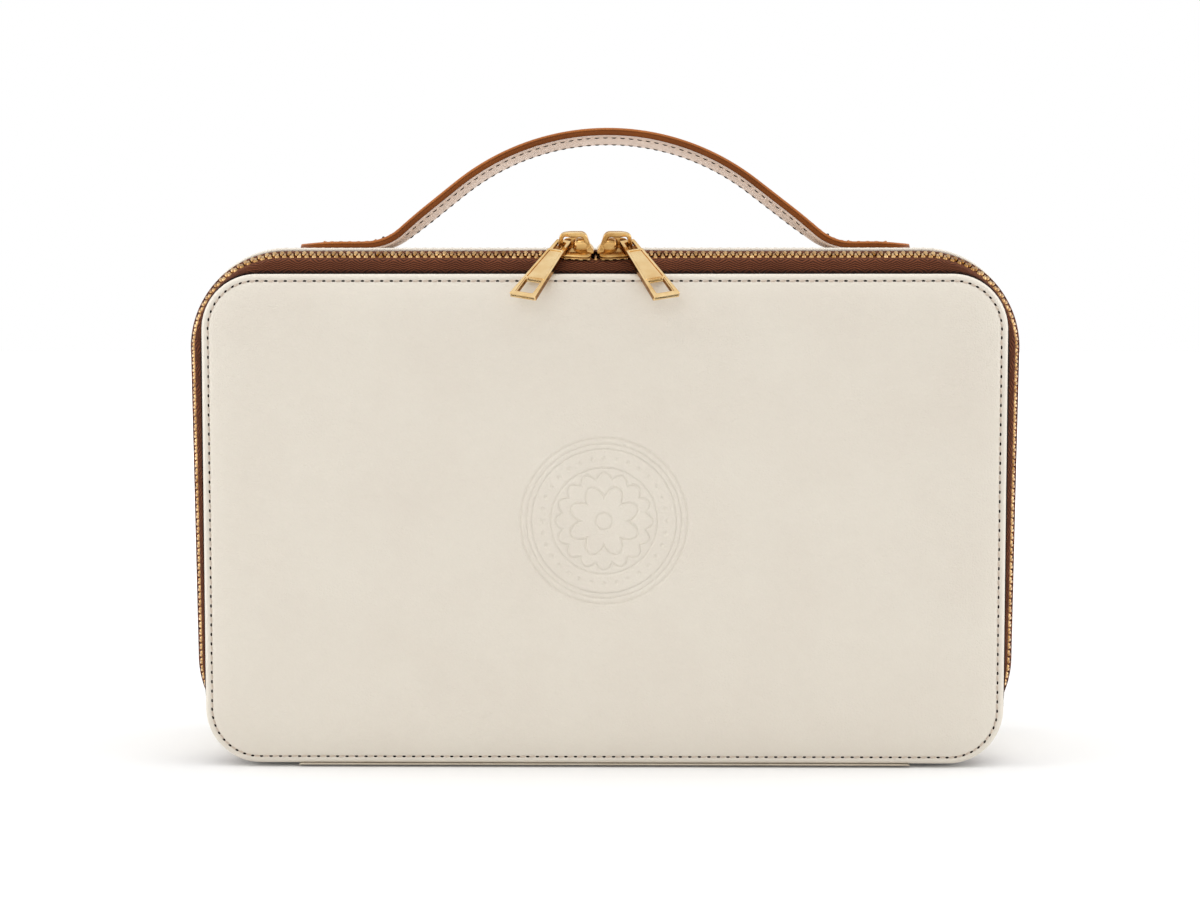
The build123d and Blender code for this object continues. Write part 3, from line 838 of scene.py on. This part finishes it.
def slider_place(side):
    """Place at the middle of a slider: x along the zip, y to the rear, z outwards."""
    reach = slider_gap / 2 + slider_length / 2
    middle = np.array([meeting_x + side * reach, chain_y, chain_top])
    return middle, np.array([1.0, 0, 0]), chain_rear, chain_out


def slider_outline(side, extra, rounding):
    """Plan of a slider plate, its wide end to the middle."""
    wide, narrow = channel_narrow + tooth_spread + extra, channel_narrow + extra
    end = slider_length / 2
    shoulder = slider_shoulder - end
    half = [(-end, wide), (shoulder, wide), (end, narrow)]
    corners = [(-end, 0), *half, *[(x, -y) for x, y in half[::-1]]]
    radii = [0] + [rounding * share for share in (1.6, 2, 1, 1, 2, 1.6)]
    if side > 0:
        return rounded_path(corners, radii, arc_steps=8)
    mirrored = [(-x, y) for x, y in corners]
    return rounded_path([mirrored[0], *mirrored[:0:-1]], [radii[0], *radii[:0:-1]], arc_steps=8)


def plate(outline, levels, dome=0.0, count=plate_count):
    """Solid plate from an outline with (inset, height) rings, closed by a domed top."""
    base, normals = outline.spaced(count)
    centre, _ = middle_of(base)
    rings = [level_ring(base - normals * inset, height) for inset, height in levels]
    inset, top = levels[-1]
    for share in np.linspace(0.94, 0.06, 9):
        points = centre + (base - normals * inset - centre) * share
        rings.append(level_ring(points, top + dome * (1 - share**2)))
    return stack_rings(rings, flip=True, cap_first=True, cap_last=True)


def rounded_levels(bottom, top, rounding):
    """Rings of a plate with both edges rounded."""
    lower = [(rounding * (1 - sind(a)), bottom + rounding * (1 - cosd(a))) for a in (0, 30, 60, 90)]
    upper = [(rounding * (1 - cosd(a)), top - rounding * (1 - sind(a))) for a in (0, 30, 60, 90)]
    return lower + upper


def sweep(points, widths, thicks, side_axis, rounding):
    """Rounded bar along a planar path: half widths along side_axis, half thicknesses in the plane."""
    ahead = np.gradient(points, axis=0)
    ahead /= np.linalg.norm(ahead, axis=1, keepdims=True)
    rings = []
    for here, up, half, half_thick in zip(points, np.cross(side_axis, ahead), widths, thicks):
        loop = []
        for sx, sy, start in ((1, 1, 0), (-1, 1, 90), (-1, -1, 180), (1, -1, 270)):
            for a in (start, start + 30, start + 60, start + 90):
                across = sx * (half - rounding) + rounding * cosd(a)
                raised = sy * (half_thick - rounding) + rounding * sind(a)
                loop.append(here + side_axis * across + up * raised)
        rings.append(np.array(loop))
    return stack_rings(rings, cap_first=True, cap_last=True)


def swelling(middle, half, height):
    """Rounded hump over the slider's plate."""
    turn = np.linspace(0, 2 * math.pi, 40, endpoint=False)
    x, y = (np.sign(f) * np.abs(f) ** 0.7 for f in (np.cos(turn), np.sin(turn)))
    rings = []
    for a in (0, 12, 25, 38, 50, 62, 74, 84):
        share = cosd(a) ** 0.6
        points = np.column_stack([middle[0] + half[0] * share * x, middle[1] + half[1] * share * y])
        rings.append(level_ring(points, plate_top - 0.1 + height * sind(a)))
    return stack_rings(rings, cap_first=True, cap_last=True)


def slider_lip(side, low, high):
    """Lips along both sides of a plate, open at its ends."""
    outer, _ = slider_outline(side, lip_width, 1.0).spaced(plate_count)
    inner, _ = slider_outline(side, 0.0, 0.6).spaced(plate_count)
    walls = [(inner, low), (outer, low), (outer, high), (inner, high), (inner, low)]
    vertices, faces = stack_rings([level_ring(points, height) for points, height in walls])
    keep = np.abs(inner[:, 1]) > 1.6
    return vertices, [f for f in faces if all(keep[v % plate_count] for v in f)]


def slider_plates(side, word):
    """Two plates, lips and a post between them, and humps under the crown."""
    wide = slider_outline(side, lip_width, 1.0)
    upper = plate(wide, rounded_levels(channel_half, plate_top, 0.5), dome=0.75)
    lower = plate(wide, rounded_levels(-plate_top, -channel_half, 0.4))
    behind = lower[0][:, 1] > 0
    lower[0][behind, 1] *= rear_trim
    near = post_start - slider_length / 2
    far = near + post_straight
    half = post_width / 2
    corners = [(near, half), (far, half), (near + post_length, 0), (far, -half), (near, -half)]
    post = rounded_path([(side * x, y) for x, y in corners][::side], [0.3, 0.3, 0.1, 0.3, 0.3], arc_steps=4)
    parts = [
        upper,
        lower,
        slider_lip(side, -channel_half, lip_height - channel_half),
        slider_lip(side, channel_half - lip_height, channel_half),
        plate(post, [(0, -channel_half), (0, channel_half)], count=40),
        swelling((-side * 3.45, 0.5), (3.1, 2.2), 4.4),
        swelling((-side * 0.7, 3.35), (4.6, 0.5), 3.3),
    ]
    shape = stamp(join_parts(parts), [slider_place(side)])
    slider = f"slider_{word}"
    make_mesh(f"{slider}_plates", shape, slider_gold, slider, "gold_metal", f"{slider}_body")


def slider_crown(side, word):
    """Arch that the pull's eye hangs from, spread where it meets the plate."""
    top = plate_top + crown_inner_height + crown_bar / 2
    outboard = crown_span / 2 - crown_leg / 2
    corners = [(-6.9, plate_top - 0.9), (-5.6, plate_top + 2.6), (-4.5, top)]
    corners += [(outboard - crown_taper, top), (outboard, plate_top - 0.3)]
    corners = [(side * x, z) for x, z in corners]
    path = rounded_path(corners, [0, 3.0, 1.7, 1.7, 0], closed=False, arc_steps=10)
    points, _ = path.spaced(72)
    inboard = smooth_step((outboard - 1.6 - side * points[:, 0]) / 2.5)
    low = smooth_step((plate_top + 2.2 - points[:, 1]) / 2.6)
    widths = crown_width / 2 + 0.3 * inboard + low * (0.25 + 0.9 * inboard)
    thicks = crown_leg / 2 + 0.18 + 0.1 * inboard + 0.35 * low * inboard
    bar = sweep(in_case(points, 0.0), widths, thicks, np.array([0, 1.0, 0]), 0.4)
    shape = stamp(bar, [slider_place(side)])
    slider = f"slider_{word}"
    crown = make_mesh(f"{slider}_arch", shape, (gold, slider_gold), slider, "gold_metal", f"{slider}_crown")
    # Painted shade: the arch's faces towards front and rear take the darker slider gold, the rest the bright
    # gold.
    sides = np.abs(facing(crown, chain_rear)) > 0.6
    crown.data.polygons.foreach_set("material_index", sides.astype(int))


# --- Pulls ---
pull_length, pull_tip_width, pull_eye_width = 35.0, 10.4, 5.8
pull_thickness, pull_eye_bar = 1.4, 1.4
pull_eye_opening, pull_window = (3.4, 5.0), (6.2, 8.0)
pull_tip_bar, pull_rim, pull_recess_depth = 1.9, 0.95, 0.35
pull_body_half = 0.98
pull_slope, pull_splay, pull_twist = 40.0, 23.6, 8.0


def cut_plate(outer, holes, thickness, bevel, height):
    """Flat plate with holes and bevelled edges, from z = height upwards."""
    curve = bpy.data.curves.new("cut_plate", "CURVE")
    curve.dimensions, curve.fill_mode = "2D", "BOTH"
    curve.extrude = (thickness / 2 - bevel) * MM
    curve.bevel_depth, curve.bevel_resolution, curve.offset = bevel * MM, 2, -bevel * MM
    for points in (outer, *holes):
        spline = curve.splines.new("POLY")
        spline.points.add(len(points) - 1)
        for target, (x, y) in zip(spline.points, points):
            target.co = (x * MM, y * MM, 0, 1)
        spline.use_cyclic_u = True
    maker = bpy.data.objects.new("cut_plate", curve)
    bpy.context.scene.collection.objects.link(maker)
    mesh = bpy.data.meshes.new_from_object(maker.evaluated_get(bpy.context.evaluated_depsgraph_get()))
    vertices = np.array([v.co for v in mesh.vertices]) / MM + (0, 0, height + thickness / 2)
    faces = [tuple(p.vertices) for p in mesh.polygons]
    bpy.data.objects.remove(maker)
    bpy.data.curves.remove(curve)
    bpy.data.meshes.remove(mesh)
    return vertices, faces


def quad(half_start, start, half_end, end, rounding, arc_steps):
    """Rounded four-sided outline about the y axis, between two distances along it."""
    corners = [(-half_start, start), (half_start, start), (half_end, end), (-half_end, end)]
    return rounded_path(corners, [rounding] * 4, arc_steps=arc_steps).points


def pull_place(side, pivot):
    """Place of a pull: x across, y back up the pull, z out of its face."""
    steep = cosd(pull_splay)
    along = np.array([side * sind(pull_splay), -steep * cosd(pull_slope), -steep * sind(pull_slope)])
    across = unit(np.array([1.0, 0, 0]) - along * along[0])
    face = np.cross(along, across)
    across = across * cosd(pull_twist) - face * side * sind(pull_twist)
    out = np.cross(along, across)
    return pivot, across, np.cross(out, across), out


def flared(near, far, inset, rounding):
    """Outline of the pull between two distances from its swing axis, less an inset."""
    widening = (pull_tip_width - pull_eye_width) / pull_length
    start, end = ((pull_eye_width + widening * distance) / 2 - inset for distance in (near, far))
    return quad(start, -near, end, -far, rounding, 6)


def straight(half, near, far, rounding):
    """Outline of an opening of even width in the pull."""
    return quad(half, -near, half, -far, rounding, 5)


def pull(side, word):
    """Cast pull: eye, raised rim round a sunk face, and an open window."""
    joint = next(j for j in frame["joints"] if j["child"] == f"pull_{word}")
    place = pull_place(side, np.array(joint["pos_m"]) / MM)
    end, tip = pull_eye_bar / 2, pull_length - pull_eye_bar / 2
    eye_far = end + pull_eye_opening[1]
    window_far = tip - pull_tip_bar
    window_near = window_far - pull_window[1]
    face_near, face_far = eye_far + 0.85, window_near - pull_rim
    deep = pull_body_half - pull_recess_depth
    eye = straight(pull_eye_opening[0] / 2, end, eye_far, 0.7)
    window = straight(pull_window[0] / 2, window_near, window_far, 0.4)
    window_rim = straight(pull_window[0] / 2 + 0.45, window_near - 0.45, window_far + 0.35, 0.5)
    body = flared(eye_far + 0.15, tip, 0, 0.35)
    sunk = flared(face_near, face_far, pull_rim, 0.3)
    parts = [
        cut_plate(flared(-end, tip, 0, 0.5), (eye, window), pull_thickness - 0.1, 0.25, -pull_thickness / 2),
        cut_plate(body, (window,), pull_body_half + deep - 0.1, 0.22, -pull_body_half),
        cut_plate(body, (window_rim, sunk), 1.0, 0.2, pull_body_half - 1.0),
        cut_plate(window_rim, (window,), 0.8, 0.14, pull_body_half - 1.0),
    ]
    cast_faces = sum(len(faces) for _, faces in parts)
    inlay = flared(face_near + 0.2, face_far - 0.2, pull_rim + 0.2, 0.3)
    parts.append(cut_plate(inlay, (), 0.2, 0.08, deep - 0.2))
    shape = stamp(join_parts(parts), [place])
    finishes = (gold, satin_gold, shaded_wall_gold)
    piece = make_mesh(
        f"pull_{word}_cast", shape, finishes, f"pull_{word}", "gold_metal", f"pull_{word}", smooth=False
    )
    # Side walls of the cast take the darker gold as painted shade; the inlay takes the satin gold.
    walls = (np.abs(facing(piece, place[3])) < 0.35) & (np.abs(facing(piece, place[2])) < 0.7)
    finish = np.where(np.arange(len(walls)) >= cast_faces, 1, np.where(walls, 2, 0))
    piece.data.polygons.foreach_set("material_index", finish)


for side, word in ((-1, "left"), (1, "right")):
    slider_plates(side, word)
    slider_crown(side, word)
    pull(side, word)


# --- Handle strap: one length of leather with a sewn lining ---
slope_left, slope_right = 38.9, 37.9
foot_radius, arch_radius = 20.0, 89.5
tab_length_left, tab_length_right = 33.6, 30.5
tongue_radius = 9.0
strap_stations = 300
handle_fold = ("shell", "handle", (0, handle_y * MM, 0.1925), (0, handle_y * MM, 0.2045))
strap_left, strap_right = box_mm("handle_tab_left")[0][0], box_mm("handle_tab_right")[1][0]
foot_left, foot_right = strap_left + tab_length_left, strap_right - tab_length_right
left_rise, right_rise = math.tan(math.radians(slope_left)), math.tan(math.radians(slope_right))
arch_x = (foot_right * right_rise + foot_left * left_rise) / (left_rise + right_rise)
arch_z = (arch_x - foot_left) * left_rise
strap_line = rounded_path(
    [(strap_left, 0), (foot_left, 0), (arch_x, arch_z), (foot_right, 0), (strap_right, 0)],
    [0, foot_radius, arch_radius, foot_radius, 0],
    closed=False,
)
strap_length = strap_line.length


def strap_frames(runs):
    """Middle, width axis and upward axis of the strap at runs along it."""
    flat, normals = strap_line.at(runs), strap_line.normal(runs)
    lean = math.radians(strap_lean) * smooth_step((flat[:, 1] - 1.0) / 11.0)
    rise = flat[:, 1] - strap_split_rise
    middle = np.column_stack([flat[:, 0], handle_y + rise * np.sin(lean), strap_axis + rise * np.cos(lean)])
    width = np.column_stack([np.zeros(len(flat)), np.cos(lean), -np.sin(lean)])
    up = np.column_stack([normals[:, 0], normals[:, 1] * np.sin(lean), normals[:, 1] * np.cos(lean)])
    return middle, width, up


def tongue(runs):
    """Half width and thickness share of the strap, drawn in at its two ends."""
    end = np.minimum(runs, strap_length - runs)
    inside = np.clip(tongue_radius - end, 0, tongue_radius)
    half = strap_width / 2 - tongue_radius + np.sqrt(tongue_radius**2 - inside**2)
    thick = 0.64 + 0.22 * smooth_step(end / 15.0) + 0.14 * smooth_step((end - 22.0) / 14.0)
    thick = thick * np.clip(0.55 + 0.45 * np.sqrt(np.clip(end / 0.9, 0, 1)), 0, 1)
    return np.maximum(half, 1.0), thick


def strap_body(name, section, finishes, slot, *nodes):
    """Closed sweep along the strap of a section of (inset from the side, height) points."""
    runs = np.linspace(0, strap_length, strap_stations)
    rings = []
    for m, w, u, half, thick in zip(*strap_frames(runs), *tongue(runs)):
        ring = []
        for inset, height in section:
            across = math.copysign(max(half - abs(inset), 0.05), inset)
            level = -strap_total / 2 + (height + strap_total / 2) * thick
            ring.append(m + w * across + u * level)
        rings.append(np.array(ring))
    shape = stack_rings(rings, cap_first=True, cap_last=True)
    return make_mesh(name, shape, finishes, handle_fold, slot, *nodes)


def mirrored_section(edges):
    """Section whose second side mirrors its first, both given from bottom to top."""
    return edges + [(-inset, height) for inset, height in edges[::-1]]


leather_low, leather_high = strap_lining - strap_total / 2, strap_total / 2
low_edge = ((0.6, 0.0), (0.3, 0.05), (0.08, 0.3), (0.0, 0.7))
split_line = [(0.0, 0.2), (0.05, 0.32), (0.17, 0.42), (0.05, 0.52)]
top_edge = ((0.03, -0.95), (0.16, -0.55), (0.5, -0.2), (1.1, -0.03))
top_groove = ((2.0, -0.06), (2.4, -0.12), (2.8, -0.06), (4.0, 0.04))
section = [(inset, leather_low + rise) for inset, rise in low_edge] + split_line
section = mirrored_section(section + [(inset, leather_high + rise) for inset, rise in top_edge + top_groove])
strap_nodes = ("handle_strap", "handle_tab_left", "handle_tab_right")
strap = strap_body("handle_leather", section, (tan, tan_edge), "tan_leather", *strap_nodes)

between = [(a[1] + b[1]) / 2 for a, b in zip(section, section[1:] + section[:1])]
burnished = [leather_low - 0.01 < height < leather_high - 0.75 for height in between]
end_caps = len(section) * (strap_stations - 1)
marks = [int(k >= end_caps or burnished[k % len(section)]) for k in range(len(strap.data.polygons))]
strap.data.polygons.foreach_set("material_index", marks)

liner_edges = [(0.65, -strap_total / 2), (0.3, -strap_total / 2 + 0.2), (0.25, leather_low - 0.02)]
strap_body("handle_liner", mirrored_section(liner_edges), liner_leather, "strap_lining", "handle_lining")


def strap_spot(run, across, rise, below=False):
    """Place on the strap's top or bottom face at a run and an offset across it."""
    middle, width, up = (part[0] for part in strap_frames(np.array([run])))
    thick = 0 if below else tongue(np.array([run]))[1][0]
    level = -strap_total / 2 + strap_total * thick + rise
    out = -up if below else up
    return middle + width * across + up * level, unit(np.cross(width, out)), width, out


def sew_strap(name, places, thread, shape):
    """Stitches on the strap."""
    make_mesh(name, stamp(shape, places), thread, handle_fold, "tan_leather")


seam_across = strap_width / 2 - 2.4
low_across = strap_width / 2 - 2.0
strap_pitch = 3.3
tab_run = 13.0
low_start, low_stop = 40.0, strap_length - 38.0
top_stitch, low_stitch = capsule(2.5, 0.3, 0.3), capsule(2.3, 0.36, 0.34)
top_runs = np.arange(tab_run, strap_length - tab_run, strap_pitch)
low_runs = low_start + (np.arange(int((low_stop - low_start) / strap_pitch)) + 0.5) * strap_pitch
for across, word in ((-1, "front"), (1, "rear")):
    top_places = [strap_spot(run, across * seam_across, -0.1) for run in top_runs]
    sew_strap(f"strap_top_seam_{word}", top_places, tan_thread, top_stitch)
    low_places = [strap_spot(run, across * low_across, -0.03, below=True) for run in low_runs]
    sew_strap(f"strap_low_seam_{word}", low_places, dark_thread_and_hole_shade, low_stitch)
tacks = []
for run in (tab_run - 3.0, 29.5, strap_length - 24.0, strap_length - tab_run + 3.0):
    for across in np.arange(-6.6, 6.7, 3.3):
        spot, along, width, up = strap_spot(run, across, 0.02)
        tacks.append((spot, width, -along, up))
sew_strap("strap_tacks", tacks, tan_thread, capsule(2.9, 0.42, 0.5))
knots = [strap_spot(run, side * seam_across, 0.05) for run in (33.0, strap_length - 33.0) for side in (-1, 1)]
sew_strap("strap_knots", knots, dark_thread_and_hole_shade, bead(0.55, 0.5, 0.5))


# --- Spine strip ---
spine_front, spine_rear = box_mm("spine_front_leaf"), box_mm("spine_rear_leaf")
spine_fold = ("lid", "shell", (0, (chain_y - 3) * MM, 0), (0, (chain_y + 3) * MM, 0))


def spine():
    """One strip under the fold, rounded at its ends."""
    half, thick = spine_front[1][0], spine_front[1][2]
    low_y, high_y = spine_front[0][1], spine_rear[1][1]
    depths = [*np.linspace(low_y + 0.6, chain_y - 4, 5), *np.linspace(chain_y - 3, chain_y + 3, 13)]
    depths += [*np.linspace(chain_y + 4, high_y - 0.6, 8)]
    turns = (-60, -30, 0, 30, 60)
    section = [(y, thick - 0.02) for y in depths]
    section += [(high_y - 0.6 + 0.6 * cosd(a), thick / 2 + (thick / 2 - 0.02) * sind(a)) for a in turns[::-1]]
    section += [(max(y, low_y + 0.3), 0.02 + 0.8 * max(0, 1 - (y - low_y) / 8) ** 1.5) for y in depths[::-1]]
    section += [(low_y + 0.3 * (1 - cosd(a)), thick - 0.3 + 0.28 * sind(a)) for a in turns]
    ends = [-half, -half + 0.25, -half + 0.8, -half + 1.6]
    spans = [*ends, *np.linspace(-half + 6, half - 6, 40), *[-x for x in ends[::-1]]]
    rings = []
    for x in spans:
        squeeze = min(1.0, 0.35 + 0.65 * math.sqrt(min((half - abs(x)) / 0.8, 1)))
        rings.append(np.array([(x, y, thick / 2 + (z - thick / 2) * squeeze) for y, z in section]))
    shape = stack_rings(rings, cap_first=True, cap_last=True, flip=True)
    make_mesh(
        "spine_strip", shape, spine_cream_shaded, spine_fold, "cream_leather", "spine_front_leaf", "spine_rear_leaf"
    )


spine()


# --- CAD nodes that show as they are ---
plain_nodes = {
    "front_end_stops": tooth_gold,
    "rear_end_stops": tooth_gold,
    "lid_foam": foam_stuff,
    "lid_board": board_stuff,
    "shell_frame": board_stuff,
}
for node, finish in plain_nodes.items():
    frame["nodes"][node].data.materials.clear()
    frame["nodes"][node].data.materials.append(finish)


# --- Linings, pocket and tray ---
def lid_lining():
    """Cloth stretched over the lid's board, with a rolled edge."""
    low, high = box_mm("lid_lining")
    near, far = low[1], high[1]
    base, normals = panel_line.spaced(200)
    edge = base - normals * (panel_half - high[0])
    profile = ((3, near), (0.2, near), (0, near + 0.2), (0.1, far - 0.15), (0.5, far))
    rings = [in_case(edge - normals * grow, y) for grow, y in profile]
    centre, _ = middle_of(base)
    rings += [in_case(centre + (edge - centre) * share, far) for share in (0.9, 0.7, 0.4, 0.1)]
    shape = stack_rings(rings, flip=True, cap_last=True, cap_first=True)
    make_mesh("lid_cloth", shape, lining_cloth, "lid", "lining_fabric", "lid_lining")


def shell_lining():
    """Cloth on the inner wall, turned over the frame's front edge, and on the back."""
    lining_high = box_mm("shell_lining")[1]
    wall, far = shell_half - lining_high[0], lining_high[1]
    frame_out = leather_thickness + seat_gap
    near = box_mm("shell_frame")[0][1]
    base, normals = shell_line.spaced(300)
    profile = [(frame_out + 0.25, near + 4), (frame_out + 0.25, near + 0.4), (frame_out + 0.5, near - 0.25)]
    profile += [(wall - 0.2, near - 0.3), (wall + 0.35, near + 0.2), (wall + 0.55, near + 1.2)]
    profile += [(wall + 0.55, far - 1.6), (wall + 1.2, far - 0.7), (wall + 8, far - 0.6)]
    rings = [in_case(base - normals * inset, y) for inset, y in profile]
    centre, _ = middle_of(base)
    back = base - normals * (wall + 8)
    rings += [in_case(centre + (back - centre) * share, far - 0.6) for share in (0.7, 0.4, 0.1)]
    shape = stack_rings(rings, cap_last=True)
    make_mesh("shell_cloth", shape, lining_cloth, "shell", "lining_fabric", "shell_lining")


well_columns, well_wall, well_width, well_height, well_low = 4, 4.0, 64.0, 132.0, 20.0
accessory_height, well_depth, well_corner = 20.0, 44.0, 3.0


def tile_tray():
    """Flocked tray: rounded wells cut through a block over a floor."""
    low, high = box_mm("tile_tray")
    base, normals = shell_line.spaced(200)
    outer = base - normals * (shell_half - high[0])
    pitch = well_width + well_wall
    short = (well_columns * pitch - 2 * well_wall) / 2 - 2 * well_wall
    middle = (well_columns - 1) / 2
    wells = [((k - middle) * pitch, well_low, well_width, well_height) for k in range(well_columns)]
    short_low = well_low + well_height + well_wall
    wells += [(side * (short + well_wall) / 2, short_low, short, accessory_height) for side in (-1, 1)]
    holes = [quad(w / 2, z, w / 2, z + h, well_corner, 8) + (x, 0) for x, z, w, h in wells]
    floor_thick = high[1] - low[1] - well_depth
    wells_block = cut_plate(outer, holes, well_depth, 0.6, 0)
    parts = [wells_block, cut_plate(outer, (), floor_thick, 0.2, -floor_thick)]
    upright = (np.array([0, high[1] - floor_thick, 0]), (1, 0, 0), (0, 0, 1), (0, -1, 0))
    shape = stamp(join_parts(parts), [upright])
    make_mesh("flocked_tray", shape, tray_flock, "shell", "tray_foam", "tile_tray", smooth=False)


pocket_corner = 12.0


def lid_pocket():
    """Slack cloth pocket sewn on three sides."""
    low, high = box_mm("lid_pocket")
    columns, rows = 96, 48
    near, far = low[1], high[1]
    grid = []
    for v in np.linspace(0, 1, rows):
        for u in np.linspace(-1, 1, columns):
            x, z = high[0] * u, low[2] + (high[2] - low[2]) * v
            drop = max(0.0, 1 - v * (high[2] - low[2]) / pocket_corner)
            corner = max(0.0, abs(x) - (high[0] - pocket_corner)) / pocket_corner
            if drop > 0 and corner > 0 and math.hypot(drop, corner) > 1:
                scale = pocket_corner / math.hypot(drop, corner)
                x = math.copysign(high[0] - pocket_corner + corner * scale, x)
                z = low[2] + pocket_corner - drop * scale
            edge = min(1.0, (1 - abs(u)) * 9) * min(1.0, v * 7)
            ripple = 0.5 + 0.3 * math.sin(u * 5.1 + 0.6) + 0.2 * math.sin(u * 11 + v * 2)
            puff = smooth_step(edge) * (0.55 + 0.45 * ripple)
            grid.append((x, near + 0.5 + (far - near - 0.6) * puff, z))
    front = np.array(grid)
    back = front.copy()
    back[:, 1] = near + 0.05 + (front[:, 1] - near - 0.5) * 0.75
    count = rows * columns
    faces = []
    for r in range(rows - 1):
        for c in range(columns - 1):
            a = r * columns + c
            around = (a, a + 1, a + columns + 1, a + columns)
            faces.append(around[::-1])
            faces.append(tuple(v + count for v in around))
    rim = [*range(columns), *range(2 * columns - 1, count, columns)]
    rim += [*range(count - 2, count - columns - 1, -1), *range(count - 2 * columns, 0, -columns)]
    faces += [(a, b, b + count, a + count) for a, b in zip(rim, rim[1:] + rim[:1])]
    shape = (np.vstack([front, back]), faces)
    make_mesh("lid_pocket_cloth", shape, lining_cloth, "lid", "lining_fabric", "lid_pocket")


def pocket_mouth():
    """Leather folded over the pocket's open edge."""
    (_, near, low), (half, far, top) = box_mm("pocket_binding")
    section = [(near, low), (near, top - 0.6), (near + 0.6, top), (far - 0.3, top - 0.2), (far, top - 1.2)]
    section += [(far, low + 0.6), (far - 0.4, low)]
    rings = [np.array([(x, y, z) for y, z in section]) for x in np.linspace(-half, half, 60)]
    shape = stack_rings(rings, cap_first=True, cap_last=True)
    make_mesh("pocket_mouth", shape, tan, "lid", "lining_fabric", "pocket_binding")


lid_lining()
shell_lining()
tile_tray()
lid_pocket()
pocket_mouth()


# --- Floor, light and camera: from here on in metres ---
def seen_ray(tree):
    """1 where the camera looks, or looks by way of metal or glass, and 0 for light."""
    rays = tree.nodes.new("ShaderNodeLightPath").outputs
    seen = rays["Is Camera Ray"]
    for word in ("Is Glossy Ray", "Is Transmission Ray"):
        either = tree.nodes.new("ShaderNodeMath")
        either.operation = "MAXIMUM"
        tree.links.new(seen, either.inputs[0])
        tree.links.new(rays[word], either.inputs[1])
        seen = either.outputs[0]
    return seen


def floor():
    """White floor that keeps the case's shadow and fades to the white background far away."""
    n = Nodes("floor_white")
    far = n.add("VectorMath", {0: n.place}, operation="LENGTH").outputs["Value"]
    n.set(
        Base_Color=(0.87, 0.87, 0.87, 1),
        Roughness=0.9,
        Specular_IOR_Level=0.2,
        Emission_Color=(1, 1, 1, 1),
        Emission_Strength=n.math("MULTIPLY", seen_ray(n.tree), n.span(far, 0.25, 1.6, 0.04, 1.0)),
        Normal=n.bump(n.noise(300.0, 2.0), 0.00005),
    )
    rows = [np.array([(x, y, 0.0) for x in np.linspace(-8, 8, 17)]) / MM for y in np.linspace(-4, 12, 17)]
    make_mesh("studio_floor", stack_rings(rows, closed=False), n.material, None)


def world():
    """White to the camera, soft grey light to everything else."""
    scene_world = bpy.data.worlds.new("studio")
    scene_world.use_nodes = True
    tree = scene_world.node_tree
    back = tree.nodes["Background"]
    strength = tree.nodes.new("ShaderNodeMapRange")
    strength.inputs["To Min"].default_value = 0.385
    strength.inputs["To Max"].default_value = 1.0
    tree.links.new(seen_ray(tree), strength.inputs["Value"])
    tree.links.new(strength.outputs["Result"], back.inputs["Strength"])
    back.inputs["Color"].default_value = (1, 1, 1, 1)
    bpy.context.scene.world = scene_world


def area_lamp(name, place, size, power, glints):
    """Soft box aimed at the case; without glints, metal doesn't mirror it."""
    lamp = bpy.data.lights.new(name, "AREA")
    lamp.shape, lamp.size, lamp.size_y = "RECTANGLE", size[0], size[1]
    lamp.energy = power
    holder = bpy.data.objects.new(name, lamp)
    holder.location = place
    holder.rotation_euler = (Vector((0, 0, 0.1)) - Vector(place)).to_track_quat("-Z", "Y").to_euler()
    holder.visible_glossy = glints
    bpy.context.scene.collection.objects.link(holder)


def camera():
    """Camera at the photograph's height, distance and angle."""
    camera_x, camera_y, camera_z = 5.6, -752.6, 159.7
    look_down, look_left = 3.53, 0.564
    focal_pixels, frame_width = 1985.9, 1200
    data = bpy.data.cameras.new("camera")
    data.sensor_width = 36.0
    data.lens = data.sensor_width * focal_pixels / frame_width
    data.clip_start, data.clip_end = 0.01, 20
    holder = bpy.data.objects.new("camera", data)
    holder.location = Vector((camera_x, camera_y, camera_z)) * MM
    holder.rotation_euler = (math.radians(90 - look_down), 0, math.radians(look_left))
    bpy.context.scene.collection.objects.link(holder)
    bpy.context.scene.camera = holder


floor()
world()
area_lamp("top_box", (0, -0.08, 1.5), (3.0, 1.8), 25.5, glints=False)
area_lamp("front_box", (-0.5, -1.7, 0.9), (0.9, 0.8), 3.5, glints=True)
area_lamp("back_box", (0.3, 1.8, 0.9), (0.9, 0.8), 4, glints=False)
area_lamp("left_box", (-1.4, -0.1, 0.5), (0.8, 1.0), 7, glints=True)
area_lamp("right_box", (1.4, -0.1, 0.5), (0.8, 1.0), 7, glints=True)
camera()
bpy.context.scene.view_settings.view_transform = "Standard"
